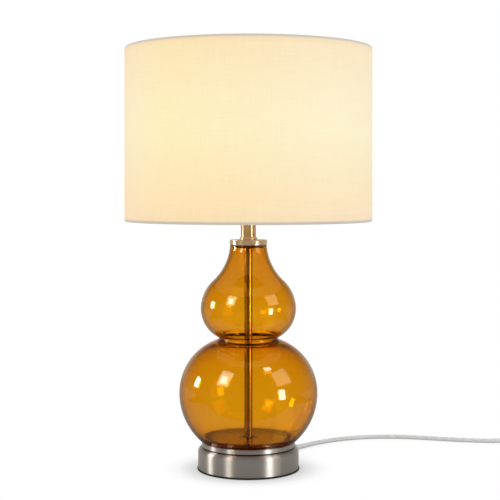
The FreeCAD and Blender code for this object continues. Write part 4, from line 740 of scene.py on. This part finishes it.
def gourdSide(inset, thicker, waist):
    # The six arcs from foot to lip, set in from the outer skin by inset and by thicker more below the waist.
    size = gourdSizes
    lower, upper = size["lowerRadius"] - inset, size["upperRadius"] - inset
    under, over = size["lowerUnder"] - inset, size["lowerOver"] - inset - thicker
    neck = size["neck"] + inset
    upperUnder, upperOver = size["upperUnder"] - inset, size["upperOver"] - inset
    first = Vector((lower - under, size["lowerLevel"]))
    second = Vector((lower - over, size["lowerLevel"]))
    fourth = Vector((upper - upperUnder, size["upperLevel"]))
    fifth = Vector((upper - upperOver, size["upperLevel"]))
    span = fourth - second
    gap = span.length
    along = ((over + waist) ** 2 - (upperUnder + waist) ** 2 + gap ** 2) / (2 * gap)
    aside = math.sqrt((over + waist) ** 2 - along ** 2)
    forward = span / gap
    third = second + forward * along + Vector((forward.y, -forward.x)) * aside
    lip = size["lip"] - inset
    reach = lip + neck
    sixth = Vector((reach, fifth.y + math.sqrt((upperOver + neck) ** 2 - (reach - fifth.x) ** 2)))
    footAngle = -math.degrees(math.asin(first.y / under))
    points = arcOf(first, under, footAngle, 0.0, 1.5)
    points += arcOf(second, over, 0.0, bearing(second, third), 1.5)[1:]
    points += arcOf(third, waist, bearing(third, second) % 360.0, bearing(third, fourth) % 360.0, 6.0)[1:]
    points += arcOf(fourth, upperUnder, bearing(fourth, third), 0.0, 2.0)[1:]
    points += arcOf(fifth, upperOver, 0.0, bearing(fifth, sixth), 2.0)[1:]
    points += arcOf(sixth, neck, bearing(sixth, fifth) + 360.0, 180.0, 1.5)[1:]
    return [point for point in points if point[1] < size["height"] - 0.01] + [(lip, size["height"])]


def crossing(side, level):
    # Where a side passes a level.
    for low, high in zip(side, side[1:]):
        if low[1] <= level <= high[1]:
            share = (level - low[1]) / (high[1] - low[1])
            return (low[0] + (high[0] - low[0]) * share, level)


def crossingAcross(side, radius):
    # Where a side passes a radius.
    for low, high in zip(side, side[1:]):
        if (low[0] - radius) * (high[0] - radius) <= 0:
            share = (radius - low[0]) / (high[0] - low[0])
            return (radius, low[1] + (high[1] - low[1]) * share)


def cornerRound(first, corner, last, bend):
    # The points of a rounded corner between two straight or nearly straight runs.
    points = softened([first, (*corner, bend), last], 8.0)
    return points[1:-1]


def boredWaist(inner):
    # The inner skin passes the waist through a straight bore with a small round below and a larger one above.
    size = gourdSizes
    bore, under, over = size["ring"], size["ringUnder"], size["ringOver"]
    middle = min(point for point in inner if size["lowerLevel"] < point[1] < size["upperLevel"])[1]
    foot = crossingAcross([point for point in inner if size["lowerLevel"] < point[1] <= middle], bore)
    top = crossingAcross([point for point in inner if middle <= point[1] < size["upperLevel"]], bore)
    lower = [point for point in inner if point[1] < foot[1] and math.dist(point, foot) > under]
    upper = [point for point in inner if point[1] > top[1] and math.dist(point, top) > over]
    return lower + cornerRound(lower[-1], foot, top, under) + cornerRound(foot, top, upper[0], over) + upper


def makeGlass():
    # Both skins, the rounded lip, the heel and the drilled floor, as one closed section.
    size = gourdSizes
    outer = gourdSide(0.0, 0.0, size["waist"])
    inner = boredWaist(gourdSide(size["wall"], size["ringThicker"], size["ringWaist"]))
    edge, floor, top, hole, margin = size["edge"], size["floor"], size["height"], size["hole"], size["margin"]
    stand, foot, above = (size["standBore"], 0.0), crossing(outer, 0.001), crossing(outer, size["heelTop"])
    heel = cornerRound(stand, foot, above, size["heel"])
    outerTop, innerTop = crossing(outer, top - edge), crossing(inner, top - edge)
    lip = arcOf((outerTop[0] - edge, top - edge), edge, 0.0, 90.0, 15.0)
    lip += arcOf((innerTop[0] + edge, top - edge), edge, 90.0, 180.0, 15.0)
    bend = size["floorRound"]
    corner = cornerRound(crossing(inner, bend), crossing(inner, floor), (hole, floor), bend)
    outside = [point for point in outer if heel[-1][1] + margin < point[1] < top - edge]
    inside = [point for point in inner if corner[0][1] + margin < point[1] < top - edge]
    section = [(hole, size["pushUp"]), (size["standBore"], size["pushUp"]), stand]
    section += heel + outside + lip + inside[::-1] + corner + [(hole, floor)]
    section = [(radius, level + size["foot"]) for radius, level in section]
    glass = lathe("amberGourd", section, size["turns"], 50.0)
    dressed(glass, finishes["amber_glass"], ["glass_body"])


makeGlass()
print("glass blown")


# Cap, collar, neck and the rod that clamps the glass

stackSizes = {"hole": 5.1, "rodRadius": 5.0, "rodBore": 4.0, "rodBottom": 16.5, "rodTop": 312.0,
              "rodTurns": 96}
# Each ring: radius, lowest and highest level, rounding of both edges, turns, finish and replaced node.
stackRings = {
    "topCap": (22.7, 271.6, 277.5, 0.4, 0.6, 192, "cap_metal", "top_cap"),
    "neckCollar": (10.6, 277.5, 281.2, 0.4, 1.8, 128, "cap_metal", "neck_collar"),
    "neckTube": (9.2, 281.2, 304.0, 0.0, 0.3, 128, "neck_metal", "neck_tube"),
}


def makeStack():
    size = stackSizes
    hole = size["hole"]
    for name, (radius, low, high, under, over, turns, finish, node) in stackRings.items():
        corners = [(hole, low), (radius, low, under), (radius, high, over), (hole, high)]
        ring = lathe(name, softened(corners), turns)
        dressed(ring, finishes[finish], [node])
    rod = lathe("centreRod", [
        (size["rodBore"], size["rodBottom"]), (size["rodRadius"], size["rodBottom"]),
        (size["rodRadius"], size["rodTop"]), (size["rodBore"], size["rodTop"]),
    ], size["rodTurns"])
    dressed(rod, finishes["rod_metal"], ["centre_rod"])


makeStack()
print("cap, neck and rod made")


# Shade: linen rolled over two hoops, with a lapped seam at the back

shadeSizes = {"radius": 150.0, "bottom": 300.0, "height": 210.0, "skin": 0.8, "hemWidth": 6.5, "hemTurn": 9.0,
              "roll": 2.0, "fold": 1.4, "crease": 0.3, "turns": 360, "lap": 12.0, "linerRadius": 149.15,
              "linerWall": 0.5, "linerInset": 2.1}


def makeShade():
    size = shadeSizes
    radius, height, skin = size["radius"], size["height"], size["skin"]
    inside, turned = radius - skin, radius - size["hemWidth"]
    roll, fold, crease, hem = size["roll"], size["fold"], size["crease"], size["hemTurn"]
    panel = softened([
        (turned, hem, crease), (turned, 0.0, fold), (radius, 0.0, roll), (radius, height, roll),
        (turned, height, fold), (turned, height - hem, crease), (turned + skin, height - hem, crease),
        (turned + skin, height - skin, fold - skin), (inside, height - skin, roll - skin),
        (inside, skin, roll - skin), (turned + skin, skin, fold - skin), (turned + skin, hem, crease),
    ])
    panel = [(across, level + size["bottom"]) for across, level in panel]
    linen = lathe("linenDrum", panel, size["turns"], 70.0)
    for vertex in linen.data.vertices:
        # The rolled sheet overlaps itself at the back, so its end stands out by its own thickness.
        aside = (math.atan2(vertex.co.y, vertex.co.x) - math.pi / 2) * radius
        if -size["lap"] < aside <= 0.01:
            out = 1 + skin / radius * (1 + aside / size["lap"])
            vertex.co.x, vertex.co.y = vertex.co.x * out, vertex.co.y * out
    dressed(linen, finishes["shade_fabric"], ["shade_fabric"])

    low, high = size["bottom"] + size["linerInset"], size["bottom"] + height - size["linerInset"]
    outer, bore = size["linerRadius"], size["linerRadius"] - size["linerWall"]
    liner = lathe("linerSheet", [(bore, low), (outer, low), (outer, high), (bore, high)], size["turns"])
    dressed(liner, finishes["shade_liner"], ["shade_liner"])


makeShade()
print("shade made")


# Bulb

bulbSizes = {"seat": 358.1, "neckRadius": 12.5, "globeRadius": 30.0, "level": 412.1, "bend": 35.0,
             "wall": 1.0, "turns": 128}


def globeSide(inset):
    size = bulbSizes
    neck, reach, bend = size["neckRadius"] - inset, size["globeRadius"] - inset, size["bend"] + inset
    across = neck + bend
    middle = (0.0, size["level"])
    aside = (across, size["level"] - math.sqrt((reach + bend) ** 2 - across ** 2))
    joint = Vector(middle) + (Vector(aside) - Vector(middle)) * (reach / (reach + bend))
    points = [(neck, size["seat"])]
    points += arcOf(aside, bend, 180.0, bearing(aside, joint) % 360.0, 4.0)
    points += arcOf(middle, reach, bearing(middle, joint), 90.0, 3.0)[1:-1]
    return points + [(0.0, size["level"] + reach)]


def makeBulb():
    outer, inner = globeSide(0.0), globeSide(bulbSizes["wall"])
    globe = lathe("opalGlobe", outer + inner[::-1], bulbSizes["turns"], 60.0)
    dressed(globe, finishes["opal_glass"], ["bulb_globe"])


makeBulb()
print("bulb made")


# Stage: pale floor, soft lights and a room that only reflections see

streakLook = {"sides": [(57.0, (1.8, 1.75, 1.6)), (-56.0, (0.55, 0.5, 0.42))], "edge": (0.95, 0.975)}


def withStreaks(tree, aim, colour):
    # Two bright sides of the room that the rod mirrors through the glass as upright streaks.
    for azimuth, bright in streakLook["sides"]:
        turn = math.radians(azimuth)
        inputs = {0: aim, 1: (math.sin(turn), -math.cos(turn), 0.0)}
        side = addNode(tree, "ShaderNodeVectorMath", inputs, operation="DOT_PRODUCT").outputs["Value"]
        colour = mixedColour(tree, stretched(tree, side, *streakLook["edge"]), colour, bright)
    return colour


def bounced(tree, kind, operation="GREATER_THAN"):
    # 1 for a ray that has met a surface of this kind, or with LESS_THAN for one that hasn't.
    depth = addNode(tree, "ShaderNodeLightPath").outputs[kind + " Depth"]
    return combined(tree, depth, 0.5, operation)


# The floor is white to the camera with a soft contact shadow, and a small table, darkened near the lamp by a
# painted shadow, in a dim room to the metal.
floorLook = {
    "half": 6.0, "contact": 0.045,
    "shadow": [(0.0, (0.08, 0.08, 0.075)), (0.6, (0.70, 0.70, 0.695)), (1.0, (1.0, 1.0, 1.0))],
    "front": -0.165, "side": 0.44, "sideEnd": 0.15, "tableSpan": (0.065, 0.17),
    "table": [(0.0, (0.13, 0.12, 0.11)), (1.0, (0.36, 0.35, 0.335))], "room": (0.05, 0.043, 0.035),
    "veilSpan": (-0.1, 0.4), "veil": [(0.0, (0.12, 0.11, 0.10)), (1.0, (0.50, 0.48, 0.46))],
}


def makeFloor():
    look = floorLook
    half = look["half"]
    corners = [(-half, -half, 0.0), (half, -half, 0.0), (half, half, 0.0), (-half, half, 0.0)]
    floor = newMesh("studioFloor", corners, [(0, 1, 2, 3)])
    material = bpy.data.materials.new("paleFloor")
    material.use_nodes = True
    tree = material.node_tree
    tree.nodes.clear()

    def glowing(colour):
        return addNode(tree, "ShaderNodeEmission", {"Color": colour, "Strength": 1.0}).outputs[0]

    def either(share, first, second):
        return addNode(tree, "ShaderNodeMixShader", {0: share, 1: first, 2: second}).outputs[0]

    shade = addNode(tree, "ShaderNodeAmbientOcclusion", {"Distance": look["contact"]}, samples=8)
    pale = glowing(colourSteps(tree, shade.outputs["AO"], look["shadow"]))
    reach = addNode(tree, "ShaderNodeVectorMath", {0: objectPoint(tree)}, operation="LENGTH").outputs["Value"]
    # Painted shadow: the table that reflections see darkens towards the lamp.
    table = glowing(colourSteps(tree, stretched(tree, reach, *look["tableSpan"]), look["table"]))
    across = addNode(tree, "ShaderNodeMath", {0: objectAxis(tree, "X")}, operation="ABSOLUTE").outputs[0]
    back = objectAxis(tree, "Y")
    aside = combined(tree, combined(tree, across, look["side"], "GREATER_THAN"),
                     combined(tree, back, look["sideEnd"], "LESS_THAN"))
    off = combined(tree, combined(tree, back, look["front"], "LESS_THAN"), aside, "MAXIMUM")
    dim = either(off, table, glowing(look["room"]))
    veil = colourSteps(tree, stretched(tree, back, *look["veilSpan"]), look["veil"])
    aim = addNode(tree, "ShaderNodeVectorMath", {0: objectPoint(tree)}, operation="NORMALIZE").outputs[0]
    mirrored, inside = bounced(tree, "Glossy"), bounced(tree, "Transmission")
    seen = either(mirrored, pale, either(inside, dim, glowing(withStreaks(tree, aim, veil))))
    addNode(tree, "ShaderNodeOutputMaterial", {"Surface": seen})
    floor.data.materials.append(material)


# Colours from the front of the room, 0, to its back, 1, and from straight behind the lamp to the sides.
roomLook = {
    "room": [(0.0, (0.08, 0.07, 0.055)), (0.55, (0.10, 0.09, 0.07)), (0.82, (0.24, 0.22, 0.20)),
             (0.97, (0.54, 0.52, 0.50))],
    "dimmer": (0.1, 0.4, 1.0, 0.2),
    "behindGlass": [(0.0, (0.10, 0.09, 0.08)), (0.45, (0.20, 0.18, 0.16)), (0.7, (0.45, 0.43, 0.41)),
                    (0.93, (0.55, 0.53, 0.51)), (0.985, (1.0, 1.0, 1.0))],
    "narrow": [(0.05, (1.0, 1.0, 1.0)), (0.09, (0.3, 0.3, 0.3)), (0.17, (0.34, 0.34, 0.34)),
               (0.32, (0.8, 0.8, 0.8))],
    "backdrop": [(0.0, (0.08, 0.07, 0.06)), (0.60, (0.12, 0.11, 0.10)), (0.85, (0.9, 0.9, 0.9)),
                 (0.93, (1.0, 1.0, 1.0))],
    "light": (1.0, 1.0, 1.0),
}


def makeWorld():
    look = roomLook
    world = bpy.data.worlds.new("studio")
    world.use_nodes = True
    tree = world.node_tree
    tree.nodes.clear()
    direction = addNode(tree, "ShaderNodeTexCoord").outputs["Generated"]
    aim = addNode(tree, "ShaderNodeSeparateXYZ", {"Vector": direction}).outputs
    depth = stretched(tree, aim["Y"], -1.0, 1.0)
    # The metal sees a room that gets dimmer upwards.
    dimmer = stretched(tree, aim["Z"], *look["dimmer"])
    room = multiplied(tree, colourSteps(tree, depth, look["room"]), dimmer)
    # Rays that the wall of the glass turns back find white only straight behind the lamp.
    aside = addNode(tree, "ShaderNodeMath", {0: aim["X"]}, operation="ABSOLUTE").outputs[0]
    narrow = colourSteps(tree, aside, look["narrow"])
    behindGlass = multiplied(tree, colourSteps(tree, depth, look["behindGlass"]), narrow)
    mirrored, inside = bounced(tree, "Glossy"), bounced(tree, "Transmission")
    seen = mixedColour(tree, inside, room, withStreaks(tree, direction, behindGlass))
    backdrop = colourSteps(tree, depth, look["backdrop"])
    sharp = combined(tree, inside, bounced(tree, "Diffuse", "LESS_THAN"))
    plain = mixedColour(tree, sharp, look["light"], backdrop)
    shade = mixedColour(tree, mirrored, plain, seen)
    light = addNode(tree, "ShaderNodeBackground", {"Color": shade, "Strength": 1.0})
    addNode(tree, "ShaderNodeOutputWorld", {"Surface": light.outputs[0]})
    bpy.context.scene.world = world


# Each softbox: azimuth and elevation of its middle as the lamp sees it, width, height and distance in metres,
# colour and power. Those of the second list light the metal base alone, and it sees none of the first.
softboxes = {
    "softboxLeft": (-44.5, 33.5, 0.26, 0.36, 0.75, (1.0, 0.90, 0.72), 1.8),
    "hotSpotLeft": (-45.0, 31.0, 0.12, 0.14, 0.70, (1.0, 0.98, 0.94), 0.7),
    "softboxRight": (63.5, 31.0, 0.37, 0.35, 0.75, (1.0, 0.86, 0.60), 1.15),
    "windowRight": (54.0, 2.5, 0.15, 0.22, 0.75, (1.0, 0.99, 0.98), 1.6),
    "stripLeft": (-95.0, 13.0, 0.12, 0.17, 0.75, (1.0, 0.98, 0.95), 1.8),
    "diamondRight": (47.5, 52.5, 0.14, 0.10, 0.75, (1.0, 0.93, 0.85), 0.5),
}
baseBoxes = {
    "baseLeft": (-45.5, 16.0, 0.13, 0.30, 0.75, (1.0, 0.95, 0.87), 1.3),
    "baseStrip": (-97.0, 14.5, 0.08, 0.24, 0.75, (1.0, 0.98, 0.95), 1.6),
    "baseRight": (47.0, 2.5, 0.17, 0.26, 0.75, (1.0, 0.99, 0.98), 2.1),
    "baseFar": (70.0, 25.0, 0.12, 0.30, 0.75, (1.0, 0.95, 0.90), 0.5),
}
baseMetal = ("baseDrum", "glassSeat")
lightAim = (0.0, 0.0, 0.12)


def makeSoftboxes(boxes, link):
    # Each light takes the metal base in or leaves it out, as link says.
    group = bpy.data.collections.new("baseMetal" + link.title())
    for name in baseMetal:
        group.objects.link(bpy.data.objects[name])
    for member in group.collection_objects:
        member.light_linking.link_state = link
    for name, (azimuth, elevation, width, height, reach, colour, power) in boxes.items():
        turn, lift = math.radians(azimuth), math.radians(elevation)
        away = Vector((math.sin(turn) * math.cos(lift), -math.cos(turn) * math.cos(lift), math.sin(lift)))
        data = bpy.data.lights.new(name, "AREA")
        data.shape = "RECTANGLE"
        data.size, data.size_y = width, height
        data.color, data.energy = colour, power
        light = placed(name, data)
        light.location = Vector(lightAim) + away * reach
        light.rotation_euler = away.to_track_quat("Z", "Y").to_euler()
        light.visible_camera = light.visible_diffuse = False
        light.light_linking.receiver_collection = group


makeFloor()
makeWorld()
makeSoftboxes(softboxes, "EXCLUDE")
makeSoftboxes(baseBoxes, "INCLUDE")
scene = bpy.context.scene
scene.view_settings.view_transform = "Standard"
scene.view_settings.look = "None"
scene.cycles.max_bounces = 24
scene.cycles.transmission_bounces = 20
scene.cycles.glossy_bounces = 8
scene.cycles.caustics_reflective = False
scene.cycles.caustics_refractive = True
print("stage set")
